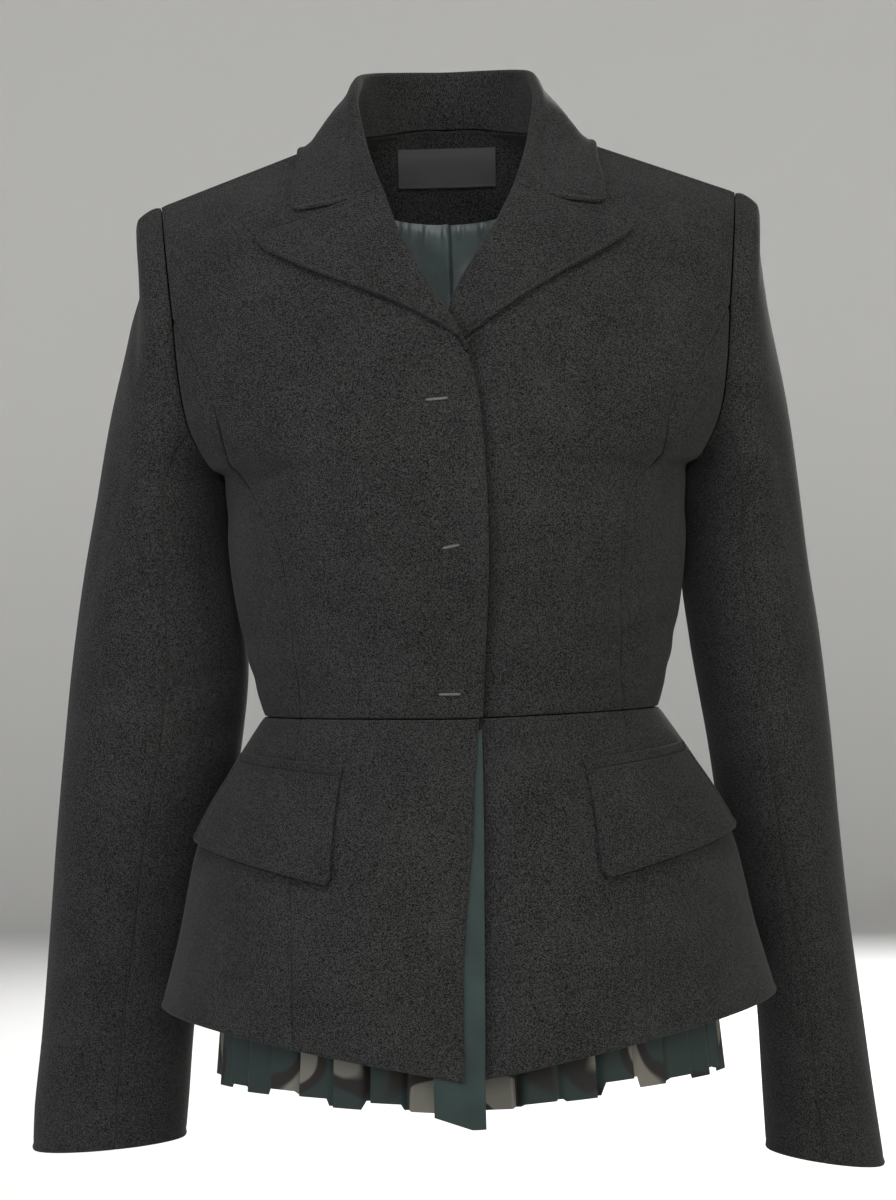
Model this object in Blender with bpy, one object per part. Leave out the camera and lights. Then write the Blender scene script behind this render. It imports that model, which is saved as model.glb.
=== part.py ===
"""A fitted wool blazer with a peplum, flap pockets and a pleated chiffon under-layer.

Every piece is a hollow cloth wall, shaped as if worn. Lengths are in millimetres until a mesh is made.
The origin is at the base of the neck, level with the points where the shoulder seams meet the collar.
+Z is up and the front faces -Y. Tables describe the half on the wearer's left (+X); the right half is
its mirror image and laps over the left at the front.
"""

from collections import namedtuple

import bpy
import numpy as np

MM = 0.001

# Cloth thicknesses
WOOL = 1.9
COLLAR_CLOTH = 2.0
FLAP_CLOTH = 2.0
FACING_CLOTH = 1.2
LINING_CLOTH = 1.0
CHIFFON = 1.0
LABEL_CLOTH = 0.8

# Clearances
SEAM_INSET = 0.18
LAYER_GAP = 0.35
LINING_GAP = 1.5
MITRE_LIMIT = 0.75
UNDERLAP = 7.5
UNDERLAP_FROM_X = 38.0
UNDERLAP_TO_X = 2.0

# How finely the pieces are divided
FRONT_COLUMNS = 8
BACK_COLUMNS = 9
SIDE_COLUMNS = 4
PEPLUM_FRONT_COLUMNS = 8
PEPLUM_SIDE_COLUMNS = 5
PEPLUM_BACK_COLUMNS = 6
FLAP_COLUMNS, FLAP_ROWS = 9, 6
STRIP_COLUMNS = 4
FACING_ROWS, LINING_ROWS, NECK_COLUMNS = 6, 10, 15
LABEL_ROWS, LABEL_COLUMNS = 3, 7
BAR_COLUMNS = 5
SHARP_EDGE = 40.0

LEFT = 1
RIGHT = -1
SIDE_NAMES = {LEFT: "left", RIGHT: "right"}

# The pleated layer: pleats in each half, where each half starts, and one pleat's shape
PLEATS_PER_HALF = 18
UNDERSKIRT_STARTS = {LEFT: 2.0, RIGHT: 6.9}
Crease = namedtuple("Crease", "share depth")
PLEAT = (Crease(0.0, 0.5), Crease(0.70, 0.0), Crease(0.85, 1.0))

# One level round the body: where it ends at the side or armhole, where it crosses the centre line, its
# curvature, and how softly it levels out at the centre
Section = namedtuple("Section", "edge_z edge_x edge_y centre_z centre_y power turn soft", defaults=(0.0,))

FRONT = (
    Section(-377.5, 130, 0, -380, -93, 2.20, 0.50),
    Section(-345, 139, 0, -346, -99, 2.25, 0.50),
    Section(-310, 146, 0, -311, -108, 2.35, 0.50),
    Section(-280, 150, 0, -281, -117, 2.45, 0.50),
    Section(-250, 152, 0, -251, -123, 2.50, 0.50),
    Section(-220, 152, 0, -221, -124, 2.50, 0.50),
    Section(-214.5, 159.5, -20, -208, -123.5, 2.50, 0.55),
    Section(-202, 167, -37, -192, -122, 2.50, 0.60),
    Section(-183, 174, -47, -172, -119, 2.45, 0.66),
    Section(-153, 178.5, -51, -145, -112, 2.40, 0.74),
    Section(-116.5, 181.5, -46, -110, -101, 2.30, 0.82),
    Section(-82.5, 185, -34, -65, -82, 2.20, 0.90),
    Section(-55, 188, -16, -15, -48, 2.10, 0.96),
    Section(-39, 190, 3, 29.5, 3, 2.00, 1.00),
)
BACK = (
    Section(-377.5, 130, 0, -378, 88, 2.20, 0.50),
    Section(-345, 139, 0, -345, 92, 2.25, 0.50),
    Section(-310, 146, 0, -310, 99, 2.30, 0.50),
    Section(-280, 150, 0, -280, 106, 2.35, 0.50),
    Section(-250, 152, 0, -250, 112, 2.40, 0.50),
    Section(-220, 152, 0, -219, 116, 2.40, 0.50),
    Section(-213, 154, 22, -203, 117.5, 2.40, 0.55, 0.05),
    Section(-199, 158, 40, -184, 118, 2.40, 0.60, 0.10),
    Section(-178, 163, 53, -160, 118, 2.40, 0.66, 0.15),
    Section(-147, 168, 58, -128, 116, 2.35, 0.74, 0.18),
    Section(-112, 174, 53, -88, 111, 2.30, 0.82, 0.20),
    Section(-81, 180, 40, -46, 103, 2.20, 0.90, 0.20),
    Section(-55.5, 186, 21, -5, 93, 2.10, 0.95, 0.20),
    Section(-46.5, 188, 11, 19, 86, 2.05, 0.98, 0.20),
    Section(-39, 190, 3, 29.5, 3, 2.00, 1.00),
)
PEPLUM_FRONT = (
    Section(-377.5, 130, 0, -380, -93, 2.20, 0.50),
    Section(-395, 142, 0, -399, -103, 2.15, 0.50),
    Section(-415, 155, 0, -422, -114, 2.10, 0.50),
    Section(-440, 168, 0, -451, -124, 2.10, 0.50),
    Section(-470, 179, 0, -486, -133, 2.10, 0.50),
    Section(-520, 190, 0, -544, -143, 2.10, 0.50),
    Section(-567, 203, 0, -606, -151, 2.10, 0.50),
)
PEPLUM_BACK = (
    Section(-377.5, 130, 0, -378, 88, 2.20, 0.50),
    Section(-395, 142, 0, -396, 98, 2.10, 0.50),
    Section(-415, 155, 0, -417, 106, 2.00, 0.50),
    Section(-440, 168, 0, -444, 114, 1.95, 0.50),
    Section(-470, 179, 0, -477, 120, 1.90, 0.50),
    Section(-520, 190, 0, -533, 126, 1.85, 0.50),
    Section(-567, 203, 0, -588, 131, 1.85, 0.50),
)
UNDERSKIRT_FRONT = (
    Section(-386, 131.6, 0, -389, -94.2, 2.20, 0.50),
    Section(-430, 143, 0, -440, -106, 2.15, 0.50),
    Section(-500, 155, 0, -520, -114, 2.10, 0.50),
    Section(-563, 163, 0, -581, -119, 2.10, 0.50),
    Section(-614, 168, 0, -628.5, -123, 2.10, 0.50),
)
UNDERSKIRT_BACK = (
    Section(-386, 131.6, 0, -387, 89.4, 2.20, 0.50),
    Section(-430, 143, 0, -434, 98, 2.10, 0.50),
    Section(-500, 155, 0, -510, 105, 2.00, 0.50),
    Section(-560, 163, 0, -575, 110, 1.95, 0.50),
    Section(-614, 168, 0, -625, 113, 1.95, 0.50),
)
PLEAT_DEPTHS = (1.2, 4.5, 6.5, 7.0, 7.5)

# Levels at which the panels are sampled, counted in rows of FRONT and BACK
BREAK_PLACE = 9.12
GORGE_PLACE = 11.67
NECK_PLACE_BACK = 12.83
ARMPIT_PLACE = 5
PRINCESS_TOP = 10
HORN_TIP = 9.93
FRONT_PLACES = (0, 1, 2, 3, 4, 5, 5.5, 6, 6.5, 7, 7.5, 8, 9, BREAK_PLACE, 9.65, HORN_TIP, 10, 10.45, 10.85,
                11.2, GORGE_PLACE, 12, 12.35, 12.7, 13)
BACK_PLACES = (0, 1, 2, 3, 4, 5, 6, 7, 8, 9, 9.6, HORN_TIP, 10, 10.5, 11, 11.5, 12, 12.5, NECK_PLACE_BACK,
               13, 13.25, 13.5, 13.75, 14)
PEPLUM_PLACES = (0, 0.5, 1, 1.5, 2, 3, 4, 5, 6)
UNDERSKIRT_PLACES = (0, 0.5, 1, 2, 3, 4)

# Seams and edges drawn across the panels: distance from the centre line at each level
Line = namedtuple("Line", "place x")

FRONT_EDGE = (
    Line(0, -13.5), Line(1, -15.6), Line(2, -17.8), Line(3, -19.3), Line(4, -19.7), Line(5, -19),
    Line(6, -18.6), Line(7, -17.4), Line(8, -15.6), Line(9, -9.6), Line(BREAK_PLACE, -8.4),
)
# The roll line: how far the panel stops short of it, and the fold's radius and cloth there
Roll = namedtuple("Roll", "place x inset radius cloth")

ROLL_LINE = (
    Roll(BREAK_PLACE, -8.4, 3.0, 1.5, 0.9),
    Roll(9.42, -3.8, 5.0, 2.2, 1.5),
    Roll(9.78, 2.8, 6.4, 3.0, 2.0),
    Roll(10.2, 12.2, 7.2, 3.4, 2.0),
    Roll(10.65, 22.3, 7.4, 3.5, 2.0),
    Roll(11.1, 32, 7.4, 3.5, 2.0),
    Roll(GORGE_PLACE, 41.5, 7.4, 3.5, 2.0),
)
FRONT_NECKLINE = (Line(GORGE_PLACE, 48.9), Line(12, 57), Line(12.35, 65), Line(12.7, 72), Line(13, 78))
BACK_NECKLINE = (
    Line(NECK_PLACE_BACK, 0), Line(13, 22), Line(13.25, 42), Line(13.5, 57), Line(13.75, 69), Line(14, 78),
)
FRONT_PRINCESS = (
    Line(0, 104.5), Line(1, 105.5), Line(2, 107.5), Line(3, 110), Line(4, 116), Line(5, 127), Line(6, 131),
    Line(7, 134.5), Line(8, 138.5), Line(8.65, 149), Line(9, 157.5), Line(9.33, 166),
    Line(9.65, 174), Line(10, 181.5),
)
BACK_PRINCESS = (
    Line(0, 76), Line(1, 80), Line(2, 85), Line(3, 91), Line(4, 98), Line(5, 108), Line(6, 114), Line(7, 122),
    Line(8, 135), Line(9, 152), Line(9.6, 164), Line(10, 174),
)
PEPLUM_EDGE = (
    Line(0, -11), Line(1, -9.2), Line(2, -6.8), Line(3, -5.3), Line(4, -1.5), Line(5, 3.3), Line(6, 4.2),
)
PEPLUM_UNDER_EDGE_X = -12.0
PEPLUM_SEAM = (
    Line(0, 104.5), Line(1, 107), Line(2, 109), Line(3, 110.5), Line(4, 111.5), Line(5, 112), Line(6, 112),
)
PEPLUM_BACK_SEAM = (Line(0, 76), Line(3, 86), Line(6, 95))

# The lapel's lower edge, one row for each level of the roll line
Corner = namedtuple("Corner", "x z")

LAPEL_EDGE = (
    Corner(-2, -138), Corner(14, -127.5), Corner(36, -116.5), Corner(60, -103.5), Corner(83, -91.5),
    Corner(104, -79.5), Corner(121.6, -69),
)
LAPEL_STEPS = (0.15, 0.3, 0.5, 0.75, 1.0)
LAPEL_LIFT = 3.2
LAPEL_START = 0.04
FOLD_LIFT = 0.3
GORGE_INSET = 0.3
DIRECTIONS_HOLD_THICKNESS = 1.0

# The collar from the gorge seam to the centre back: roll, middle of the fall, and outer edge
CollarRow = namedtuple("CollarRow", "fold_x fold_y fold_z mid_x mid_y mid_z edge_x edge_y edge_z")

COLLAR = (
    CollarRow(41.5, -60, -38.7, 66.5, -63, -45.8, 101.5, -57, -48.6),
    CollarRow(48, -42, -20, 73, -46, -24, 103, -44, -33),
    CollarRow(53, -20, -1, 75, -22, -6, 100, -20, -16),
    CollarRow(58, 8, 30, 75, 7, 14, 95, 6, -2),
    CollarRow(55, 46, 50, 72, 52, 30, 89, 57, -5),
    CollarRow(34, 79, 56, 43, 88, 34, 51, 96, -4),
    CollarRow(0, 92, 57, 0, 97.5, 30, 0, 101, -4),
)
COLLAR_STATIONS = (0, 0.6, 1.15, 2, 3, 3.5, 4, 4.5, 5.3, 6)
COLLAR_FOLD_RADIUS = 3.5
COLLAR_REST_STATIONS = (1.15, 2, 4, 6)
COLLAR_RESTS = (3.2, 6.0, 6.2, 4.5)
COLLAR_FLAT_UNTIL, COLLAR_FREE_FROM = 1.15, 3
COLLAR_SETTLE = (0, 0, 0, 0.3, 1.0)
FALL_TO_MIDDLE = (0.5, 1.0)
FALL_TO_EDGE = (0.33, 0.66, 1.0)
STAND_STEPS = (0.0, 0.35, 0.7)
FOLD_TURNS = (0, 45, 90, 135, 180)
GORGE_COLUMNS = len(STAND_STEPS) + len(FOLD_TURNS) + 2

# Sleeve caps: steps from the armhole to the first ring, and how strongly the cloth springs out
CAP_STEPS = (0.0, 0.07, 0.14, 0.22, 0.32, 0.46, 0.64, 0.82)
CAP_PULL_UNDER = 20.0
CAP_PULL_TOP = 62.0
CAP_SPREAD = 0.35
CAP_RISE = 0.12
CAP_LEAST_FALL = 15.0

# Sleeves below the cap: inner and outer reach, depth, and how far the level tips down to the outside
SleeveRow = namedtuple("SleeveRow", "z inner outer centre_y half_depth tip")

SLEEVES = {
    RIGHT: (
        SleeveRow(-235, 154, 239, 16, 58, 0),
        SleeveRow(-285, 148, 250, 28, 56, 0),
        SleeveRow(-341, 141.5, 259.5, 34, 53, 0),
        SleeveRow(-401, 148.5, 267.5, 41, 51, 0),
        SleeveRow(-455, 163, 274.5, 51, 49, 0),
        SleeveRow(-522, 175, 282.5, 64, 47, 0.5),
        SleeveRow(-590, 187, 291, 76, 45, 2),
        SleeveRow(-640, 192, 297.5, 78, 44, 3),
        SleeveRow(-667, 195, 299, 78, 43, 3.2),
    ),
    LEFT: (
        SleeveRow(-235, 153.5, 228, 17, 60, 0),
        SleeveRow(-285, 149, 234, 28, 58, 0),
        SleeveRow(-335, 154, 241, 34, 56, 0),
        SleeveRow(-401, 164.5, 247.5, 41, 54, 0),
        SleeveRow(-455, 172, 252, 52, 52, 0),
        SleeveRow(-522, 183, 259, 66, 49, 1.5),
        SleeveRow(-590, 196, 268, 77, 46, 4),
        SleeveRow(-640, 198, 274, 79, 44, 6),
        SleeveRow(-689, 200, 280, 79, 43, 6.3),
    ),
}
# The padded roll along each sleeve head and the hollow under it: distance from the armhole, width and height
HeadShape = namedtuple("HeadShape", "distance width height")

SLEEVE_HEADS = {
    RIGHT: (HeadShape(15, 17, 6.5), HeadShape(58, 18, -4.0), HeadShape(85, 50, -5.5)),
    LEFT: (HeadShape(15, 17, 6.0), HeadShape(80, 52, -4.5)),
}
HEAD_POWER = 1.5
SLEEVE_FRONT_SEAM_PLACE = 7.5
SLEEVE_BACK_SEAM_PLACE = 9
SLEEVE_FRONT_SEAM_TURN = 98.0
SLEEVE_BACK_SEAM_TURN = 255.0

# Flap pockets: levels counted in rows of PEPLUM_FRONT, turns in degrees from the centre line
FLAP_TOP_INNER, FLAP_TOP_OUTER = 1.85, 1.57
FLAP_LOW_INNER, FLAP_LOW_OUTER = 4.12, 3.67
FLAP_TURN_INNER_TOP, FLAP_TURN_INNER_LOW = 30.5, 28.0
FLAP_TURN_OUTER = 76.0
FLAP_LIFT_TOP = 2.5
FLAP_LIFT_INNER = 3.6
FLAP_LIFT_OUTER = 9.0
FLAP_CORNER_POWER = 3
FLAP_HANG_POWER = 1.5
WELT_HEIGHT = 0.27

# Front slit strip, in rows of PEPLUM_FRONT
STRIP_PLACES = (0.35, 1, 2, 3, 4, 5, 6)
STRIP_INNER = (Line(0.35, 14), Line(2, 14), Line(6, 24))
STRIP_EDGE = (Line(0.35, -12.4), Line(1, -12.6), Line(3, -12), Line(5, -10), Line(6, -8.4))
STRIP_POINT_DROP = 30.0
STRIP_INNER_DROP = 25.0

# Closure bars: level in rows of FRONT, distance from the centre line, tilt across the bar
Bar = namedtuple("Bar", "name place x tilt")

BARS = (
    Bar("closure_bar_top", 7.8, 10.8, 0.0),
    Bar("closure_bar_middle", 3.37, 2.6, 0.09),
    Bar("closure_bar_bottom", 0.47, 7.6, 0.0),
)
BAR_LENGTH = 14.0
BAR_HALF_HEIGHT_PLACE = 0.034
BAR_CLOTH = 0.9

# Inside of the back neck
FACING_HALF_WIDTH = 57.0
FACING_LOW_CENTRE = 11.0
FACING_LOW_SIDE = 11.45
FACING_NECK_TRIM = 0.03
LINING_LOW_PLACE = 0.25
LINING_LOW_HALF_WIDTH = 70.0
LINING_PLEAT_HALF_WIDTH = 9.0
LINING_PLEAT_DEPTH = 2.2
LABEL_HALF_WIDTH = 34.5
LABEL_LOW_Z, LABEL_HIGH_Z = -21.0, 5.0

# Finishes: colour, roughness
FINISHES = {
    "wool": ((0.024, 0.026, 0.027, 1.0), 0.85),
    "satin": ((0.018, 0.045, 0.042, 1.0), 0.35),
    "chiffon": ((0.012, 0.034, 0.030, 1.0), 0.60),
    "label": ((0.010, 0.010, 0.011, 1.0), 0.50),
    "thread": ((0.300, 0.310, 0.310, 1.0), 0.60),
}


def unit(vectors):
    """The vectors at length 1."""
    return vectors / np.linalg.norm(vectors, axis=-1, keepdims=True)


def smooth_rows(table, place):
    """A table's columns at a row number that may be fractional.

    Cubic pieces whose slopes never overshoot their rows; past the ends the table runs on straight.
    """
    rows = np.array(table, dtype=float)
    steps = np.diff(rows, axis=0)
    product = steps[:-1] * steps[1:]
    total = steps[:-1] + steps[1:]
    mean = np.where(product > 0, 2 * product / np.where(total == 0, 1, total), 0.0)
    slopes = np.vstack([steps[:1], mean, steps[-1:]])
    place = np.asarray(place, dtype=float)
    low = np.clip(np.floor(place).astype(int), 0, len(rows) - 2)
    inside = np.clip(place, 0, len(rows) - 1)
    past = (place - inside)[..., None]
    t = (inside - low)[..., None]
    curve = ((1 + 2 * t) * (1 - t) ** 2 * rows[low] + t * (1 - t) ** 2 * slopes[low]
             + t * t * (3 - 2 * t) * rows[low + 1] + t * t * (t - 1) * slopes[low + 1])
    end_slope = np.where(past > 0, steps[-1], steps[0])
    return curve + past * end_slope


def line_x(line, place):
    """A drawn line's distance from the centre at each level."""
    points = np.array(line, dtype=float)
    return np.interp(place, points[:, 0], points[:, 1])


def surface(table, place, turn):
    """The outside of a half shell, at a level and a turn from 0 at the centre to 90 at the side."""
    section = smooth_rows(table, place)
    edge_z, edge_x, edge_y, centre_z, centre_y, power, bend, soft = np.moveaxis(section, -1, 0)
    across = np.sin(np.radians(turn))
    reach = np.minimum(np.abs(across), 1.0)
    bulge = (1 - reach ** power) ** bend
    x = edge_x * across
    y = edge_y + (centre_y - edge_y) * bulge
    fall = (np.hypot(reach, soft) - soft) / (np.hypot(1, soft) - soft)
    z = centre_z + (edge_z - centre_z) * fall
    return np.stack([x, y, z], axis=-1)


def surface_normal(table, place, turn):
    """The outward direction of a half shell, from small steps along it and round it."""
    place, turn = np.broadcast_arrays(np.asarray(place, float), np.asarray(turn, float))
    last = len(table) - 1
    place_low = np.minimum(place, last) - 0.06
    place_high = np.where(place >= last, place, place + 0.06)
    along = surface(table, place_high, turn) - surface(table, place_low, turn)
    turn_high = np.minimum(turn + 2.0, 90.0)
    around = surface(table, place, turn_high) - surface(table, place, turn_high - 4.0)
    normal = unit(np.cross(around, along))
    point = surface(table, place, turn)
    middle = np.stack([0 * point[..., 0], 0 * point[..., 1], np.minimum(point[..., 2], -150.0)], axis=-1)
    facing = np.sign(np.sum(normal * (point - middle), axis=-1, keepdims=True))
    return normal * facing


def turn_at(table, place, x):
    """The turn at which a section reaches x."""
    edge_x = smooth_rows(table, place)[..., 1]
    return np.degrees(np.arcsin(np.clip(x / edge_x, -1, 1)))


def place_at(table, x, z):
    """The level at which a shell passes through x and z, by halving the interval."""
    low = np.zeros(np.shape(x))
    high = np.full(np.shape(x), len(table) - 1.0)
    for _ in range(40):
        middle = (low + high) / 2
        height = surface(table, middle, turn_at(table, middle, x))[..., 2]
        rising = table[-1].edge_z > table[0].edge_z
        too_low = (height < z) == rising
        low = np.where(too_low, middle, low)
        high = np.where(too_low, high, middle)
    return (low + high) / 2


def lifted(table, place, turn, lift):
    """Points of a shell moved out along its normals."""
    lift = np.asarray(lift, dtype=float)[..., None]
    return surface(table, place, turn) + lift * surface_normal(table, place, turn)


def tucked(points, side):
    """The left half set back near the centre front, where the right half laps over it."""
    if side == RIGHT:
        return points
    amount = np.clip((UNDERLAP_FROM_X - points[..., 0]) / (UNDERLAP_FROM_X - UNDERLAP_TO_X), 0, 1)
    shift = np.where(points[..., 1] < 0, UNDERLAP * amount * amount * (3 - 2 * amount), 0.0)
    return points + shift[..., None] * np.array([0.0, 1.0, 0.0])


def grid_faces(rows, columns, wrap=False):
    """Four-sided faces of a grid of points numbered row by row."""
    faces = []
    for row in range(rows - 1):
        for column in range(columns if wrap else columns - 1):
            following = (column + 1) % columns
            faces.append((row * columns + column, row * columns + following,
                          (row + 1) * columns + following, (row + 1) * columns + column))
    return faces


def grid_normals(points, wrap=False):
    """Directions square to a grid: the mean of the faces round each point, longer where they turn sharply."""
    if wrap:
        points = np.concatenate([points[:, -1:], points, points[:, :1]], axis=1)
    across = points[1:, 1:] - points[:-1, :-1]
    other = points[1:, :-1] - points[:-1, 1:]
    flat = unit(np.cross(across, other))
    edges = ((1, 1), (0, 0), (0, 0)) if wrap else ((1, 1), (1, 1), (0, 0))
    flat = np.pad(flat, edges, mode="edge")
    around = np.stack([flat[:-1, :-1], flat[1:, :-1], flat[:-1, 1:], flat[1:, 1:]])
    mean = unit(around.sum(axis=0))
    agreement = np.sum(around * mean, axis=-1).mean(axis=0)
    return mean / np.maximum(agreement, MITRE_LIMIT)[..., None]


def boundary_edges(faces):
    """Edges with one face only, in that face's direction."""
    owners = {}
    for number, face in enumerate(faces):
        for first, second in zip(face, face[1:] + face[:1]):
            owners.setdefault(frozenset((first, second)), []).append((first, second, number))
    return [uses[0] for uses in owners.values() if len(uses) == 1]


def inset(points, faces, edges, distance):
    """The points with their outline drawn in by a distance, so that neighbours don't touch."""
    pull = np.zeros_like(points)
    for first, second, number in edges:
        along = unit(points[second] - points[first])
        inward = points[list(faces[number])].mean(axis=0) - (points[first] + points[second]) / 2
        inward = unit(inward - np.dot(inward, along) * along)
        pull[first] += inward
        pull[second] += inward
    size = np.sum(pull * pull, axis=1, keepdims=True)
    return points + distance * 2 * pull / np.where(size < 0.2, 1.0, size)


def split_faces(points, faces):
    """Each four-sided face as two triangles across its shorter diagonal."""
    triangles = []
    for first, second, third, fourth in faces:
        one = np.linalg.norm(points[first] - points[third])
        other = np.linalg.norm(points[second] - points[fourth])
        if one <= other:
            triangles += [(first, second, third), (first, third, fourth)]
        else:
            triangles += [(first, second, fourth), (second, third, fourth)]
    return triangles


def finish(name):
    """A plain material of one of the garment's finishes."""
    material = bpy.data.materials.get(name) or bpy.data.materials.new(name)
    material.use_nodes = True
    shader = material.node_tree.nodes["Principled BSDF"]
    colour, roughness = FINISHES[name]
    shader.inputs["Base Color"].default_value = colour
    shader.inputs["Roughness"].default_value = roughness
    shader.inputs["Metallic"].default_value = 0.0
    material.diffuse_color = colour
    return material


def wall(name, points, normals, faces, thickness, material, side=LEFT, drawn_in=SEAM_INSET):
    """One cloth piece: an outer face, an inner face one thickness behind it, and a rim along every edge."""
    points = np.asarray(points, dtype=float).reshape(-1, 3)
    normals = np.asarray(normals, dtype=float).reshape(-1, 3)
    first, second, third, fourth = (points[list(corner)] for corner in zip(*faces))
    face_normals = np.cross(third - first, fourth - second)
    at_corner = normals[[face[0] for face in faces]]
    if np.sum(face_normals * at_corner) < 0:
        faces = [face[::-1] for face in faces]
    edges = boundary_edges(faces)
    outer = inset(points, faces, edges, drawn_in)
    inner = outer - thickness * normals
    count = len(points)
    solid = split_faces(outer, faces)
    solid += [tuple(count + corner for corner in face[::-1]) for face in solid]
    solid += [(second, first, count + first, count + second) for first, second, _ in edges]
    vertices = np.vstack([outer, inner]) * np.array([side, 1, 1]) * MM
    if side == RIGHT:
        solid = [face[::-1] for face in solid]
    mesh = bpy.data.meshes.new(name)
    mesh.from_pydata(vertices.tolist(), [], solid)
    mesh.shade_smooth()
    mesh.set_sharp_from_angle(angle=np.radians(SHARP_EDGE))
    mesh.materials.append(finish(material))
    piece = bpy.data.objects.new(name, mesh)
    bpy.context.collection.objects.link(piece)
    return piece


def panel_grid(table, places, inner_x, outer_x, columns):
    """Levels and turns of a panel between two drawn lines."""
    places = np.asarray(places, dtype=float)
    start = turn_at(table, places, inner_x)
    end = turn_at(table, places, outer_x)
    share = np.linspace(0, 1, columns)
    turns = start[:, None] + (end - start)[:, None] * share
    return np.repeat(places[:, None], columns, axis=1), turns


def shell_panel(name, table, grid, side, shared_top=None, thickness=WOOL, lap=False):
    """A panel cut from a shell, with the top edge's direction shared with its neighbour if given."""
    points = surface(table, *grid)
    normals = surface_normal(table, *grid)
    if shared_top is not None:
        normals[-1] = shared_top
    if lap:
        points = tucked(points, side)
    wall(name, points, normals, grid_faces(*points.shape[:2]), thickness, "wool", side)


def shoulder_direction():
    """The direction square to the shoulder seam, shared by the front and back panels that meet there."""
    seam = FRONT[-1]
    along = np.array([seam.edge_x, 0.0, seam.edge_z - seam.centre_z])
    return unit(np.cross(along, np.array([0.0, 1.0, 0.0])))


def front_inner_x(places):
    """The front panel's inner outline: the front edge, then just outside the roll line, then the neckline."""
    places = np.asarray(places, dtype=float)
    rolls = np.array(ROLL_LINE)
    rolled = line_x(ROLL_LINE, places) + np.interp(places, rolls[:, 0], rolls[:, 2])
    outline = np.where(places < BREAK_PLACE, line_x(FRONT_EDGE, places), rolled)
    return np.where(places >= GORGE_PLACE, line_x(FRONT_NECKLINE, places), outline)


def make_fronts():
    """Front panels, from the front edge to the princess seam and the armhole."""
    places = np.array(FRONT_PLACES)
    armhole_x = smooth_rows(FRONT, places)[:, 1]
    outer_x = np.where(places < PRINCESS_TOP, line_x(FRONT_PRINCESS, places), armhole_x)
    for side in (RIGHT, LEFT):
        grid = panel_grid(FRONT, places, front_inner_x(places), outer_x, FRONT_COLUMNS)
        shell_panel(f"front_{SIDE_NAMES[side]}", FRONT, grid, side, shoulder_direction(), lap=True)


def make_backs():
    """Back panels, from the centre-back seam and neckline to the back princess seam and the armhole."""
    places = np.array(BACK_PLACES)
    inner_x = np.where(places <= NECK_PLACE_BACK, 0.0, line_x(BACK_NECKLINE, places))
    armhole_x = smooth_rows(BACK, places)[:, 1]
    outer_x = np.where(places < PRINCESS_TOP, line_x(BACK_PRINCESS, places), armhole_x)
    for side in (RIGHT, LEFT):
        grid = panel_grid(BACK, places, inner_x, outer_x, BACK_COLUMNS)
        shell_panel(f"back_{SIDE_NAMES[side]}", BACK, grid, side, shoulder_direction())


def make_sides():
    """Side panels: one piece under the arm that parts into a front and a back horn at the armhole."""
    front_places = np.array([place for place in FRONT_PLACES if place < PRINCESS_TOP])
    back_places = np.array([place for place in BACK_PLACES if place < PRINCESS_TOP])
    columns = SIDE_COLUMNS
    front = panel_grid(FRONT, front_places, line_x(FRONT_PRINCESS, front_places),
                       smooth_rows(FRONT, front_places)[:, 1], columns)
    back = panel_grid(BACK, back_places, smooth_rows(BACK, back_places)[:, 1],
                      line_x(BACK_PRINCESS, back_places), columns)
    points = np.vstack([surface(FRONT, *front).reshape(-1, 3), surface(BACK, *back).reshape(-1, 3)])
    normals = np.vstack([surface_normal(FRONT, *front).reshape(-1, 3),
                         surface_normal(BACK, *back).reshape(-1, 3)])
    offset = len(front_places) * columns
    joined = {offset + row * columns: row * columns + columns - 1 for row in range(ARMPIT_PLACE + 1)}
    faces = grid_faces(len(front_places), columns)
    for face in grid_faces(len(back_places), columns):
        faces.append(tuple(joined.get(offset + corner, offset + corner) for corner in face))
    kept = sorted({corner for face in faces for corner in face})
    renumber = {corner: number for number, corner in enumerate(kept)}
    faces = [tuple(renumber[corner] for corner in face) for face in faces]
    for side in (RIGHT, LEFT):
        wall(f"side_{SIDE_NAMES[side]}", points[kept], normals[kept], faces, WOOL, "wool", side)


def folded_rows(seam, fold, falls, radii, leaning):
    """Cross-sections of turned-back cloth: up from the seam, round the fold, and out over the fall.

    Each row is one station; the columns run from the seam to the outer edge. Leaning points from the
    under layer to the upper one.
    """
    upward = unit(unit(fold - seam) + unit(fold - falls[:, 0]))
    outward = unit(leaning - np.sum(leaning * upward, axis=1, keepdims=True) * upward)
    radii = np.asarray(radii, dtype=float)[:, None]
    centre = fold - radii * upward
    start = centre - radii * outward
    columns = [seam + step * (start - seam) for step in STAND_STEPS]
    for turn in np.radians(FOLD_TURNS):
        columns.append(centre - radii * np.cos(turn) * outward + radii * np.sin(turn) * upward)
    columns += [falls[:, number] for number in range(falls.shape[1])]
    return np.stack(columns, axis=1)


def body_samples():
    """Points and outward directions all over the upper body, to rest the collar on."""
    turns = np.arange(0, 90, 2.0)
    front = np.meshgrid(np.arange(8.5, 13.01, 0.05), turns, indexing="ij")
    back = np.meshgrid(np.arange(10, 14.01, 0.05), turns, indexing="ij")
    points = [surface(FRONT, *front).reshape(-1, 3), surface(BACK, *back).reshape(-1, 3)]
    normals = [surface_normal(FRONT, *front).reshape(-1, 3), surface_normal(BACK, *back).reshape(-1, 3)]
    return np.vstack(points), np.vstack(normals)


def rested(points, samples, lift, settle):
    """Points pushed out to the lift where they are nearer to the body, and drawn in by a share if farther."""
    near, directions = samples
    flat = points.reshape(-1, 3)
    closest = np.argmin(np.sum((flat[:, None, :] - near[None]) ** 2, axis=-1), axis=1)
    move = lift - np.sum((flat - near[closest]) * directions[closest], axis=1)
    move = np.where(move > 0, move, move * settle.reshape(-1))
    return (flat + move[:, None] * directions[closest]).reshape(points.shape)


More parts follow.
